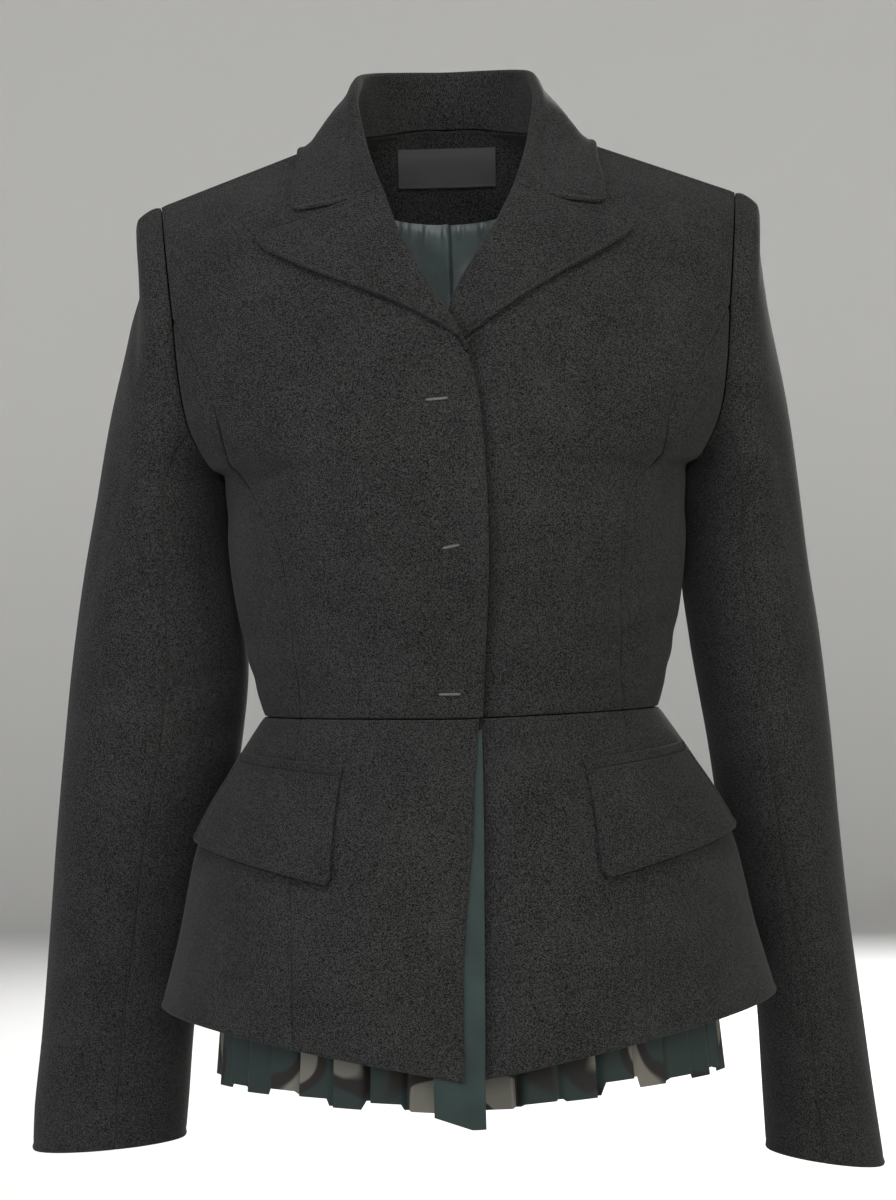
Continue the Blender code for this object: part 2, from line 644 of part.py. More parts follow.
def seam_start(table, places, x, fold):
    """Where turned-back cloth starts: level with the inside of the panel, just past its edge."""
    turns = turn_at(table, places, x)
    edge = surface(table, places, turns)
    direction = surface_normal(table, places, turns)
    rising = unit(fold - edge)
    bend = np.sum(rising * direction, axis=1, keepdims=True)
    toward = unit(rising - bend * direction)
    return edge - WOOL * direction + (SEAM_INSET + LAYER_GAP + COLLAR_CLOTH * np.abs(bend)) * toward


def lapel_rows():
    """Cross-sections of a lapel from the break to the gorge seam, lying just clear of the front panel."""
    places, roll_x, insets, radii, _ = np.array(ROLL_LINE).T
    places[0] += LAPEL_START
    turns = turn_at(FRONT, places, roll_x)
    fold = lifted(FRONT, places, turns, FOLD_LIFT)
    seam = seam_start(FRONT, places, roll_x + insets, fold)
    corners = np.array(LAPEL_EDGE)
    share = np.array(LAPEL_STEPS)
    fall_x = roll_x[:, None] + (corners[:, 0] - roll_x)[:, None] * share
    fall_z = fold[:, 2][:, None] + (corners[:, 1] - fold[:, 2])[:, None] * share
    fall_places = place_at(FRONT, fall_x, fall_z)
    fall_turns = turn_at(FRONT, fall_places, fall_x)
    falls = lifted(FRONT, fall_places, fall_turns, np.full(fall_x.shape, LAPEL_LIFT))
    return folded_rows(seam, fold, falls, radii, surface_normal(FRONT, places, turns))


def lapel_directions(points):
    """Outward directions of a lapel, as long as its cloth is thick at each level."""
    cloth = np.array([row.cloth for row in ROLL_LINE])
    return outward_of(points) * cloth[:, None, None]


def outward_of(points):
    """Outward directions of turned-back cloth, whose last columns face away from the body."""
    normals = grid_normals(points)
    middle = len(points) // 2
    return normals * np.sign(normals[middle, -1, 1] * points[middle, -1, 1])


def make_lapels():
    """Lapels: the front's cloth folded back at the roll line."""
    points = lapel_rows()
    for side in (RIGHT, LEFT):
        shaped = tucked(points, side)
        wall(f"lapel_{SIDE_NAMES[side]}", shaped, lapel_directions(shaped), grid_faces(*points.shape[:2]),
             DIRECTIONS_HOLD_THICKNESS, "wool", side, GORGE_INSET)


def collar_half():
    """Cross-sections of the collar from the gorge seam to the centre back."""
    key = smooth_rows(COLLAR, COLLAR_STATIONS)
    fold, middle, edge = key[:, 0:3], key[:, 3:6], key[:, 6:9]
    front_places = np.array([row.place for row in FRONT_NECKLINE])
    back_places = np.array([row.place for row in BACK_NECKLINE])[-2::-1]
    split = len(front_places)
    seam = np.vstack([
        seam_start(FRONT, front_places, line_x(FRONT_NECKLINE, front_places), fold[:split]),
        seam_start(BACK, back_places, line_x(BACK_NECKLINE, back_places), fold[split:]),
    ])
    falls = [fold + (middle - fold) * share for share in FALL_TO_MIDDLE]
    falls += [middle + (edge - middle) * share for share in FALL_TO_EDGE]
    falls = np.stack(falls, axis=1)
    flatness = np.interp(COLLAR_STATIONS, (COLLAR_FLAT_UNTIL, COLLAR_FREE_FROM), (1.0, 0.0))[:, None]
    settle = np.maximum(flatness, np.array(COLLAR_SETTLE))
    lift = np.interp(COLLAR_STATIONS, COLLAR_REST_STATIONS, COLLAR_RESTS)
    falls = rested(falls, body_samples(), np.repeat(lift, falls.shape[1]), settle)
    along = np.gradient(fold, axis=0)
    leaning = unit(np.cross(unit(2 * fold - seam - falls[:, 1]), along))
    leaning = leaning * np.sign(np.sum(leaning * (falls[:, 0] - seam), axis=1, keepdims=True))
    return folded_rows(seam, fold, falls, np.full(len(fold), COLLAR_FOLD_RADIUS), leaning)


def make_collar():
    """The collar, stand and fall in one, from gorge to gorge."""
    half = collar_half()
    half[-1, :, 0] = 0.0
    lapel = lapel_rows()
    half[0, :GORGE_COLUMNS] = lapel[-1, :GORGE_COLUMNS]
    flip = np.array([-1, 1, 1])
    points = np.concatenate([half, half[-2::-1] * flip])
    normals = outward_of(points)
    shared = outward_of(lapel)[-1, :GORGE_COLUMNS]
    for row, mirror in ((0, 1), (-1, flip)):
        normals[row, :GORGE_COLUMNS] = shared * mirror
        normals[row, GORGE_COLUMNS:] = shared[-1] * mirror
    wall("collar", points, normals, grid_faces(*points.shape[:2]), COLLAR_CLOTH, "wool", LEFT, GORGE_INSET)


def armhole_loop():
    """The armhole from the shoulder down the front, under the arm and up the back, with the seam columns."""
    front = [place for place in FRONT_PLACES if place >= ARMPIT_PLACE][::-1]
    back = [place for place in BACK_PLACES if ARMPIT_PLACE < place < len(BACK) - 1]
    points = np.vstack([surface(FRONT, np.array(front), 90.0), surface(BACK, np.array(back), 90.0)])
    front_seam = front.index(SLEEVE_FRONT_SEAM_PLACE)
    under = len(front) - 1
    back_seam = len(front) + back.index(SLEEVE_BACK_SEAM_PLACE)
    return points, front_seam, under, back_seam


def sleeve_rings(rows, turns, places):
    """Rings of a sleeve below the cap: ovals that tip down to the outside."""
    row = smooth_rows(rows, places)[:, None, :]
    cosine, sine = np.cos(turns), np.sin(turns)
    x = (row[..., 1] + row[..., 2]) / 2 + (row[..., 2] - row[..., 1]) / 2 * cosine
    y = row[..., 3] - row[..., 4] * sine
    z = row[..., 0] - row[..., 5] * cosine
    return np.stack([x, y, z], axis=-1)


def sleeve_normals(points):
    """Outward directions of a sleeve's rings."""
    normals = grid_normals(points, wrap=True)
    middle = points.mean(axis=1, keepdims=True)
    return normals * np.sign(np.sum(normals[-1] * (points - middle)[-1]))


def head_relief(points, side, climb):
    """How far a sleeve stands out along its head and in below it, most at the shoulder."""
    steps = np.linalg.norm(np.diff(points, axis=0), axis=-1)
    distance = np.concatenate([np.zeros((1, points.shape[1])), np.cumsum(steps, axis=0)])
    shape = sum(head.height * np.exp(-((distance - head.distance) / head.width) ** 2)
                for head in SLEEVE_HEADS[side])
    rising = np.minimum(distance / SLEEVE_HEADS[side][0].distance, 1.0)
    return shape * rising * np.maximum(np.cos(climb), 0) ** HEAD_POWER


def make_sleeves():
    """Two-piece sleeves: a cap that springs from the armhole, then rings down to the cuff."""
    armhole, front_seam, under, back_seam = armhole_loop()
    columns = len(armhole)
    numbers = np.arange(columns)
    knots = [0, front_seam, under, back_seam, columns]
    knot_turns = [0, SLEEVE_FRONT_SEAM_TURN, 180, SLEEVE_BACK_SEAM_TURN, 360]
    turns = np.radians(np.interp(numbers, knots, knot_turns))
    climb = np.radians(np.interp(numbers, [0, under, columns], [0, 180, 360]))
    pull = CAP_PULL_UNDER + (CAP_PULL_TOP - CAP_PULL_UNDER) * (1 + np.cos(climb)) / 2
    spring = np.stack([np.ones(columns), -CAP_SPREAD * np.sin(climb), CAP_RISE * np.cos(climb)], axis=-1)
    spring = unit(spring)
    start = armhole + (SEAM_INSET + LAYER_GAP) * spring
    for side in (RIGHT, LEFT):
        rows = SLEEVES[side]
        lower = sleeve_rings(rows, turns, np.arange(len(rows), dtype=float))
        down = lower[1] - lower[0]
        fall = np.maximum(armhole[:, 2] - lower[0][:, 2], CAP_LEAST_FALL)
        down = unit(down) * fall[:, None]
        t = np.array(CAP_STEPS)[:, None, None]
        cap = ((1 + 2 * t) * (1 - t) ** 2 * start + t * (1 - t) ** 2 * (spring * pull[:, None])
               + t * t * (3 - 2 * t) * lower[0] + t * t * (t - 1) * down)
        points = np.concatenate([cap, lower])
        points = points + head_relief(points, side, climb)[..., None] * sleeve_normals(points)
        normals = sleeve_normals(points)
        under_columns = np.arange(front_seam, back_seam + 1)
        upper_columns = np.arange(back_seam, columns + front_seam + 1) % columns
        for part, chosen in (("upper", upper_columns), ("under", under_columns)):
            wall(f"sleeve_{part}_{SIDE_NAMES[side]}", points[:, chosen], normals[:, chosen],
                 grid_faces(len(points), len(chosen)), WOOL, "wool", side)


def make_peplum():
    """The peplum below the waist seam: fronts, sides that run round under the arms, and backs."""
    places = np.array(PEPLUM_PLACES)
    seam_x = line_x(PEPLUM_SEAM, places)
    back_x = line_x(PEPLUM_BACK_SEAM, places)
    edge_x = smooth_rows(PEPLUM_FRONT, places)[:, 1]
    for side in (RIGHT, LEFT):
        name = SIDE_NAMES[side]
        under_x = np.full(len(places), PEPLUM_UNDER_EDGE_X)
        inner_x = line_x(PEPLUM_EDGE, places) if side == RIGHT else under_x
        front = panel_grid(PEPLUM_FRONT, places, inner_x, seam_x, PEPLUM_FRONT_COLUMNS)
        shell_panel(f"peplum_front_{name}", PEPLUM_FRONT, front, side, lap=True)
        back = panel_grid(PEPLUM_BACK, places, np.zeros(len(places)), back_x, PEPLUM_BACK_COLUMNS)
        shell_panel(f"peplum_back_{name}", PEPLUM_BACK, back, side)
        ahead = panel_grid(PEPLUM_FRONT, places, seam_x, edge_x, PEPLUM_SIDE_COLUMNS)
        behind = panel_grid(PEPLUM_BACK, places, edge_x, back_x, PEPLUM_SIDE_COLUMNS)
        points = np.concatenate([surface(PEPLUM_FRONT, *ahead), surface(PEPLUM_BACK, *behind)[:, 1:]], axis=1)
        normals = np.concatenate([surface_normal(PEPLUM_FRONT, *ahead),
                                  surface_normal(PEPLUM_BACK, *behind)[:, 1:]], axis=1)
        wall(f"peplum_side_{name}", points, normals, grid_faces(*points.shape[:2]), WOOL, "wool", side)


def make_pockets():
    """Pocket welts and flaps, laid over the peplum; the flaps stand away at their outer corners."""
    across = np.linspace(0, 1, FLAP_COLUMNS)
    top = FLAP_TOP_INNER + (FLAP_TOP_OUTER - FLAP_TOP_INNER) * across
    low = FLAP_LOW_INNER + (FLAP_LOW_OUTER - FLAP_LOW_INNER) * across
    down = np.linspace(0, 1, FLAP_ROWS)[:, None]
    places = top + (low - top) * down
    inner_turn = FLAP_TURN_INNER_TOP + (FLAP_TURN_INNER_LOW - FLAP_TURN_INNER_TOP) * down
    turns = inner_turn + (FLAP_TURN_OUTER - inner_turn) * across
    stand = FLAP_LIFT_INNER + (FLAP_LIFT_OUTER - FLAP_LIFT_INNER) * across ** FLAP_CORNER_POWER
    lifts = FLAP_LIFT_TOP + (stand - FLAP_LIFT_TOP) * down ** FLAP_HANG_POWER
    flap = lifted(PEPLUM_FRONT, places, turns, lifts)
    welt_places = top - WELT_HEIGHT * np.array([[1.0], [0.0]])
    welt_turns = np.repeat(turns[:1], 2, axis=0)
    welt = lifted(PEPLUM_FRONT, welt_places, welt_turns, np.full(welt_places.shape, FLAP_LIFT_TOP))
    for side in (RIGHT, LEFT):
        name = SIDE_NAMES[side]
        for piece, points in (("flap", flap), ("welt", welt)):
            normals = grid_normals(points)
            outward = np.sign(np.sum(normals[..., 0]))
            wall(f"pocket_{piece}_{name}", points, normals * outward, grid_faces(*points.shape[:2]),
                 FLAP_CLOTH, "wool", side)


def pleat_turns():
    """Turns and depths round one half of the pleated layer: each pleat has a long face and a short return."""
    pitch = 180.0 / PLEATS_PER_HALF
    turns, depths = [], []
    for pleat in range(PLEATS_PER_HALF):
        for crease in PLEAT:
            turns.append((pleat + crease.share) * pitch)
            depths.append(crease.depth)
    return np.array(turns + [180.0]), np.array(depths + [PLEAT[0].depth])


def make_underskirt():
    """The pleated under-layer, one half on each side, deepening from the waist to the hem."""
    turns, depths = pleat_turns()
    places = np.array(UNDERSKIRT_PLACES, dtype=float)
    swell = np.interp(places, np.arange(len(PLEAT_DEPTHS)), PLEAT_DEPTHS)
    for side in (RIGHT, LEFT):
        start = UNDERSKIRT_STARTS[side]
        kept = np.where(turns < 90, start + turns * (90 - start) / 90, 180 - turns)
        grid = np.meshgrid(places, kept, indexing="ij")
        ahead = surface(UNDERSKIRT_FRONT, *grid)
        behind = surface(UNDERSKIRT_BACK, *grid)
        points = np.where((turns < 90)[None, :, None], ahead, behind)
        reach = points * np.array([1, 1, 0])
        inward = -unit(reach + np.array([0.001, 0, 0]))
        points = points + (swell[:, None] * depths)[..., None] * inward
        points = tucked(points, side)
        points[:, -1, 0] = 0.0
        normals = grid_normals(points)
        outward = np.sign(np.sum(normals * -inward))
        normals[:, -1, 0] = 0.0
        wall(f"underskirt_{SIDE_NAMES[side]}", points, normals * outward, grid_faces(*points.shape[:2]),
             CHIFFON, "chiffon", side)


def make_strip():
    """The plain strip in the front slit, between the right peplum and the left, ending in a point."""
    places = np.array(STRIP_PLACES, dtype=float)
    edge_x = line_x(STRIP_EDGE, places)
    inner_x = line_x(STRIP_INNER, places)
    grid = panel_grid(PEPLUM_FRONT, places, edge_x, inner_x, STRIP_COLUMNS)
    lift = -(WOOL + LAYER_GAP)
    points = lifted(PEPLUM_FRONT, *grid, np.full(grid[0].shape, lift))
    normals = surface_normal(PEPLUM_FRONT, *grid)
    drop = np.linspace(STRIP_POINT_DROP, STRIP_INNER_DROP, STRIP_COLUMNS)
    tail = points[-1] - drop[:, None] * np.array([0, 0, 1])
    points = np.concatenate([points, tail[None]])
    normals = np.concatenate([normals, normals[-1:]])
    wall("underskirt_edge", points, normals, grid_faces(*points.shape[:2]), CHIFFON, "chiffon", RIGHT)


def inside_back(half_width, low, high, rows, columns):
    """Levels and turns of a piece across the inside of the back, symmetric about the centre."""
    down = np.linspace(0, 1, rows)[:, None]
    across = np.linspace(-1, 1, columns)
    x = np.broadcast_to(half_width, (rows,))[:, None] * across
    low, high = low(np.abs(x[0])), high(np.abs(x[-1]))
    places = low + (high - low) * down
    return places, turn_at(BACK, places, x)


def facing_low(x):
    """The level of the neck facing's lower edge."""
    return FACING_LOW_CENTRE + (FACING_LOW_SIDE - FACING_LOW_CENTRE) * (x / FACING_HALF_WIDTH) ** 2


def make_neck_inside():
    """Neck facing, blank label and back lining, each moved in from the back panels."""
    neck = np.array(BACK_NECKLINE)

    def neck_high(x):
        return np.interp(x, neck[:, 1], neck[:, 0]) - FACING_NECK_TRIM

    level = -(WOOL + LINING_GAP)
    grid = inside_back(FACING_HALF_WIDTH, facing_low, neck_high, FACING_ROWS, NECK_COLUMNS)
    points = lifted(BACK, *grid, np.full(grid[0].shape, level))
    normals = surface_normal(BACK, *grid)
    wall("neck_facing", points, normals, grid_faces(FACING_ROWS, NECK_COLUMNS), FACING_CLOTH, "wool")

    grid = inside_back(LABEL_HALF_WIDTH, lambda x: place_at(BACK, x, np.full(x.shape, LABEL_LOW_Z)),
                       lambda x: place_at(BACK, x, np.full(x.shape, LABEL_HIGH_Z)), LABEL_ROWS, LABEL_COLUMNS)
    label_level = level - FACING_CLOTH - LAYER_GAP
    points = lifted(BACK, *grid, np.full(grid[0].shape, label_level))
    normals = surface_normal(BACK, *grid)
    faces = grid_faces(LABEL_ROWS, LABEL_COLUMNS)
    wall("neck_label", points, normals, faces, LABEL_CLOTH, "label", LEFT, 0.0)

    widths = np.linspace(LINING_LOW_HALF_WIDTH, FACING_HALF_WIDTH, LINING_ROWS)
    grid = inside_back(widths, lambda x: LINING_LOW_PLACE + 0 * x, facing_low, LINING_ROWS, NECK_COLUMNS)
    x = surface(BACK, *grid)[..., 0]
    pleat = LINING_PLEAT_DEPTH * np.clip(1 - np.abs(x) / LINING_PLEAT_HALF_WIDTH, 0, 1)
    points = lifted(BACK, *grid, level - pleat)
    normals = surface_normal(BACK, *grid)
    wall("back_lining", points, normals, grid_faces(LINING_ROWS, NECK_COLUMNS), LINING_CLOTH, "satin")


def make_bars():
    """Closure bars: three short flat bars on the right front."""
    across = np.linspace(-0.5, 0.5, BAR_COLUMNS) * BAR_LENGTH
    for bar in BARS:
        x = np.repeat((bar.x + across)[None], 2, axis=0)
        rise = np.array([[-1.0], [1.0]]) * BAR_HALF_HEIGHT_PLACE
        places = bar.place + rise - bar.tilt * across / BAR_LENGTH
        turns = turn_at(FRONT, places, x)
        points = lifted(FRONT, places, turns, np.full(x.shape, LAYER_GAP + BAR_CLOTH))
        normals = surface_normal(FRONT, places, turns)
        wall(bar.name, points, normals, grid_faces(2, BAR_COLUMNS), BAR_CLOTH, "thread", RIGHT, 0.0)


def clear_scene():
    """An empty scene to build in."""
    for item in list(bpy.data.objects):
        bpy.data.objects.remove(item, do_unlink=True)


def main():
    """Every piece of the blazer."""
    clear_scene()
    make_fronts()
    make_sides()
    make_backs()
    make_lapels()
    make_collar()
    make_sleeves()
    make_peplum()
    make_pockets()
    make_underskirt()
    make_strip()
    make_neck_inside()
    make_bars()


main()
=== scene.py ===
"""Looks of a fitted wool blazer with a peplum: its cloth shells, seams, pleats, finishes and stage.

Lengths in the tables are millimetres and meshes are in metres. +Z is up and the front faces -Y. The tables
describe the half on the wearer's left (+X); the right half is its mirror image and laps over the left.
"""

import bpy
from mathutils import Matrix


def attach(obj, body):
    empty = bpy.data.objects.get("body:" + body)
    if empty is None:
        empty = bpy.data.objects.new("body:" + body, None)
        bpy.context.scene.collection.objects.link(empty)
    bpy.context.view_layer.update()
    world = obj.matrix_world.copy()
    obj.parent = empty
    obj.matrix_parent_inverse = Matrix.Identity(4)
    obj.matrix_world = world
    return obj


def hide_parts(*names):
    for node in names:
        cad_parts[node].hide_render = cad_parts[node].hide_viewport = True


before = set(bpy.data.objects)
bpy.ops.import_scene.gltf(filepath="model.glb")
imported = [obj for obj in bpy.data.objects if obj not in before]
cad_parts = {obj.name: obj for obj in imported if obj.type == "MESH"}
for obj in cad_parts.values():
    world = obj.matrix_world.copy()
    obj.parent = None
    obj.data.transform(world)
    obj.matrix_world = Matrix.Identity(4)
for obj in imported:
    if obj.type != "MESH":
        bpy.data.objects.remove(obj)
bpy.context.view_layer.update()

from collections import namedtuple

import bpy
import numpy as np
from mathutils import Matrix, Vector

bl_info = {
    "name": "Peplum blazer",
    "version": (1, 0, 0),
    "blender": (4, 5, 0),
    "location": "3D View > Sidebar > Blazer",
    "description": "Builds the cloth, trims, floor, lights and camera of a fitted wool blazer",
    "category": "Add Mesh",
}

MM = 0.001
BODY = "root"
UV_NAME = "Cloth"

LEFT = 1
RIGHT = -1
SIDE_NAMES = {LEFT: "left", RIGHT: "right"}
FLIP = np.array([-1.0, 1.0, 1.0])

# Clearances and laps
SEAM_INSET = 0.18
LAYER_GAP = 0.35
LINING_GAP = 1.5
UNDERLAP = 9.5
UNDERLAP_FROM_X = 34.0
UNDERLAP_TO_X = 2.0

# Extra loops close to an edge, and how a cloth's edge is shaped: the radius it is rounded over, how deep
# and how wide it is drawn in by a seam, how full a turned edge is and how deep the line pressed behind it
EDGE_STEPS = (0.15, 0.4, 0.8, 1.4)
EDGE_ROOM = 0.85
TURNED_FINENESS = 0.6
Border = namedtuple("Border", "radius dip width puff press", defaults=(0.0,))

SEAM = Border(0.8, 0.45, 2.4, 0.0)
FLAT_SEAM = Border(0.4, 0.0, 2.0, 0.0)
WELT_SEAM = Border(1.3, 0.9, 1.6, 0.0)
ARMHOLE = Border(0.45, 0.35, 2.4, 0.0)
TURNED = Border(1.6, 0.0, 1.0, 0.45, 0.35)
HEMMED = Border(1.7, 0.0, 1.0, 0.50, 0.20)
FINE_EDGE = Border(0.5, 0.0, 1.0, 0.10)
PUFF_PLACE = 2.2
PUFF_WIDTH = 1.7
PRESS_PLACE = 5.2
PRESS_WIDTH = 1.5

# One level round the body: where it ends at the side or armhole, where it crosses the centre line, its
# curvature, and how softly it levels out at the centre
Section = namedtuple("Section", "edge_z edge_x edge_y centre_z centre_y power turn soft", defaults=(0.0,))

FRONT = (
    Section(-377.5, 130, 0, -380, -93, 2.20, 0.50),
    Section(-345, 139, 0, -346, -99, 2.25, 0.50),
    Section(-310, 146, 0, -311, -108, 2.35, 0.50),
    Section(-280, 150, 0, -281, -117, 2.45, 0.50),
    Section(-250, 152, 0, -251, -123, 2.50, 0.50),
    Section(-220, 152, 0, -221, -124, 2.50, 0.50),
    Section(-214.5, 159.5, -20, -208, -123.5, 2.50, 0.55),
    Section(-202, 167, -37, -192, -122, 2.50, 0.60),
    Section(-183, 174, -47, -172, -119, 2.45, 0.66),
    Section(-153, 178.5, -51, -145, -112, 2.40, 0.74),
    Section(-116.5, 181.5, -46, -110, -101, 2.30, 0.82),
    Section(-82.5, 185, -34, -65, -82, 2.20, 0.90),
    Section(-55, 188, -16, -15, -48, 2.10, 0.96),
    Section(-39, 190, 3, 29.5, 3, 2.00, 1.00),
)
BACK = (
    Section(-377.5, 130, 0, -378, 88, 2.20, 0.50),
    Section(-345, 139, 0, -345, 92, 2.25, 0.50),
    Section(-310, 146, 0, -310, 99, 2.30, 0.50),
    Section(-280, 150, 0, -280, 106, 2.35, 0.50),
    Section(-250, 152, 0, -250, 112, 2.40, 0.50),
    Section(-220, 152, 0, -219, 116, 2.40, 0.50),
    Section(-213, 154, 22, -203, 117.5, 2.40, 0.55, 0.05),
    Section(-199, 158, 40, -184, 118, 2.40, 0.60, 0.10),
    Section(-178, 163, 53, -160, 118, 2.40, 0.66, 0.15),
    Section(-147, 168, 58, -128, 116, 2.35, 0.74, 0.18),
    Section(-112, 174, 53, -88, 111, 2.30, 0.82, 0.20),
    Section(-81, 180, 40, -46, 103, 2.20, 0.90, 0.20),
    Section(-55.5, 186, 21, -5, 93, 2.10, 0.95, 0.20),
    Section(-46.5, 188, 11, 19, 86, 2.05, 0.98, 0.20),
    Section(-39, 190, 3, 29.5, 3, 2.00, 1.00),
)
PEPLUM_FRONT = (
    Section(-377.5, 130, 0, -380, -93, 2.20, 0.50),
    Section(-395, 142, 0, -399, -103, 2.15, 0.50),
    Section(-415, 155, 0, -422, -114, 2.10, 0.50),
    Section(-440, 168, 0, -451, -124, 2.10, 0.50),
    Section(-470, 179, 0, -486, -133, 2.10, 0.50),
    Section(-520, 190, 0, -544, -143, 2.10, 0.50),
    Section(-567, 203, 0, -606, -151, 2.10, 0.50),
)
PEPLUM_BACK = (
    Section(-377.5, 130, 0, -378, 88, 2.20, 0.50),
    Section(-395, 142, 0, -396, 98, 2.10, 0.50),
    Section(-415, 155, 0, -417, 106, 2.00, 0.50),
    Section(-440, 168, 0, -444, 114, 1.95, 0.50),
    Section(-470, 179, 0, -477, 120, 1.90, 0.50),
    Section(-520, 190, 0, -533, 126, 1.85, 0.50),
    Section(-567, 203, 0, -588, 131, 1.85, 0.50),
)
UNDERSKIRT_FRONT = (
    Section(-386, 131.6, 0, -389, -94.2, 2.20, 0.50),
    Section(-430, 143, 0, -440, -106, 2.15, 0.50),
    Section(-500, 155, 0, -520, -114, 2.10, 0.50),
    Section(-563, 163, 0, -581, -119, 2.10, 0.50),
    Section(-614, 168, 0, -628.5, -123, 2.10, 0.50),
)
UNDERSKIRT_BACK = (
    Section(-386, 131.6, 0, -387, 89.4, 2.20, 0.50),
    Section(-430, 143, 0, -434, 98, 2.10, 0.50),
    Section(-500, 155, 0, -510, 105, 2.00, 0.50),
    Section(-560, 163, 0, -575, 110, 1.95, 0.50),
    Section(-614, 168, 0, -625, 113, 1.95, 0.50),
)

# Levels where an outline turns a corner, counted in rows of FRONT and BACK
BREAK_PLACE = 8.95
GORGE_PLACE = 11.67
NECK_PLACE_BACK = 12.83
ARMPIT_PLACE = 5
PRINCESS_TOP = 10
HORN_TIP = 9.93
FRONT_STOPS = (0, 1, 2, 3, 4, 5, 6, 7, 8, BREAK_PLACE, 9.5, PRINCESS_TOP, 11, GORGE_PLACE, 12.35, 13)
BACK_STOPS = (0, 1, 2, 3, 4, 5, 6, 7, 8, 9, PRINCESS_TOP, 11, 12, NECK_PLACE_BACK, 13.25, 13.5, 13.75, 14)
HORN_STOPS = (5, 6, 7, 8, 9, HORN_TIP)

# Seams and edges drawn across the panels: distance from the centre line at each level
Line = namedtuple("Line", "place x")

FRONT_EDGE = (
    Line(0, -13.5), Line(1, -15.6), Line(2, -17.8), Line(3, -19.3), Line(4, -19.7), Line(5, -19),
    Line(6, -18.6), Line(7, -17.4), Line(8, -15.6), Line(BREAK_PLACE, -9.8),
)
# The roll line on each side, how far the panel stops short of it, the fold's radius, and how high the lapel
# lies above the panel
Roll = namedtuple("Roll", "place right_x left_x inset radius lift")

ROLL_LINE = (
    Roll(BREAK_PLACE, -9.8, -9.8, 1.8, 0.9, 1.3),
    Roll(9.15, -8.2, -9.0, 3.0, 1.3, 1.9),
    Roll(9.42, -3.7, -6.6, 4.8, 2.1, 2.9),
    Roll(9.78, 3.5, -2.0, 6.4, 3.0, 3.2),
    Roll(10.2, 14.0, 4.5, 7.2, 3.4, 3.2),
    Roll(10.65, 23.8, 16.5, 7.4, 3.5, 3.2),
    Roll(11.1, 33.2, 29.0, 7.4, 3.5, 3.2),
    Roll(11.4, 38.0, 36.0, 7.4, 3.5, 3.2),
    Roll(11.55, 40.0, 39.2, 7.4, 3.5, 3.2),
    Roll(GORGE_PLACE, 41.5, 41.5, 7.4, 3.5, 3.2),
)
FRONT_NECKLINE = (
    Line(GORGE_PLACE, 48.9), Line(11.76, 51.1), Line(12, 57), Line(12.35, 65), Line(12.7, 72),
    Line(13, 78),
)
BACK_NECKLINE = (
    Line(NECK_PLACE_BACK, 0), Line(13, 22), Line(13.25, 42), Line(13.5, 57), Line(13.75, 69),
    Line(14, 78),
)
FRONT_PRINCESS = {
    RIGHT: (
        Line(0, 104.5), Line(1, 106.5), Line(2, 109), Line(3, 112), Line(3.4, 114.2), Line(4, 122.5),
        Line(4.5, 131), Line(5, 140), Line(6, 146), Line(7, 150), Line(8, 153.5), Line(8.65, 159),
        Line(9, 164), Line(9.33, 169), Line(9.65, 175), Line(10, 181.5),
    ),
    LEFT: (
        Line(0, 104.5), Line(1, 104), Line(2, 103.8), Line(3, 104.4), Line(3.6, 105.4), Line(4, 107.5),
        Line(4.4, 113), Line(4.75, 120.8), Line(5, 127.5), Line(5.5, 131.5), Line(6, 134), Line(7, 137),
        Line(8, 138.5), Line(8.3, 143), Line(8.65, 151.5), Line(9, 160), Line(9.33, 167.5),
        Line(9.65, 174.5), Line(10, 181.5),
    ),
}
BACK_PRINCESS = (
    Line(0, 76), Line(1, 80), Line(2, 85), Line(3, 91), Line(4, 98), Line(5, 108), Line(6, 114),
    Line(7, 122), Line(8, 135), Line(9, 152), Line(9.6, 164), Line(10, 174),
)
PEPLUM_EDGE = (
    Line(0, -11), Line(1, -9.2), Line(2, -6.8), Line(3, -5.3), Line(4, -1.5), Line(5, 3.3),
    Line(6, 4.2),
)
PEPLUM_UNDER_EDGE_X = -12.0
PEPLUM_SEAM = (
    Line(0, 104.5), Line(1, 107), Line(2, 109), Line(3, 110.5), Line(4, 111.5), Line(5, 112),
    Line(6, 112),
)
PEPLUM_BACK_SEAM = (Line(0, 76), Line(3, 86), Line(6, 95))
PEPLUM_STOPS = (0, 1, 2, 3, 4, 5, 6)
PEPLUM_FRONT_COLUMNS, PEPLUM_BACK_COLUMNS = 42, 34
PEPLUM_AHEAD_COLUMNS, PEPLUM_BEHIND_COLUMNS = 34, 38
SIDE_PANEL_WIDTH = 60.0

# Sampling of lines and shells, and a length that keeps directions from being empty
TINY = 0.001
LINE_SAMPLES = 400
MEASURED_TURN = 45.0
SLEEVE_COLUMN_SHARE = 0.9
ARMHOLE_SAMPLES = 300
HALVINGS = 40
NORMAL_PLACE_STEP = 0.06
NORMAL_TURN_STEP = 2.0
AXIS_TOP_Z = -150.0
FRONT_SAMPLES = np.arange(8.5, 13.01, 0.05)
BACK_SAMPLES = np.arange(10, 14.01, 0.05)
TURN_SAMPLES = np.arange(0, 90, 2.0)

# The lapel's lower edge and its blunt tip, one row for each level of the roll line
Corner = namedtuple("Corner", "x z")

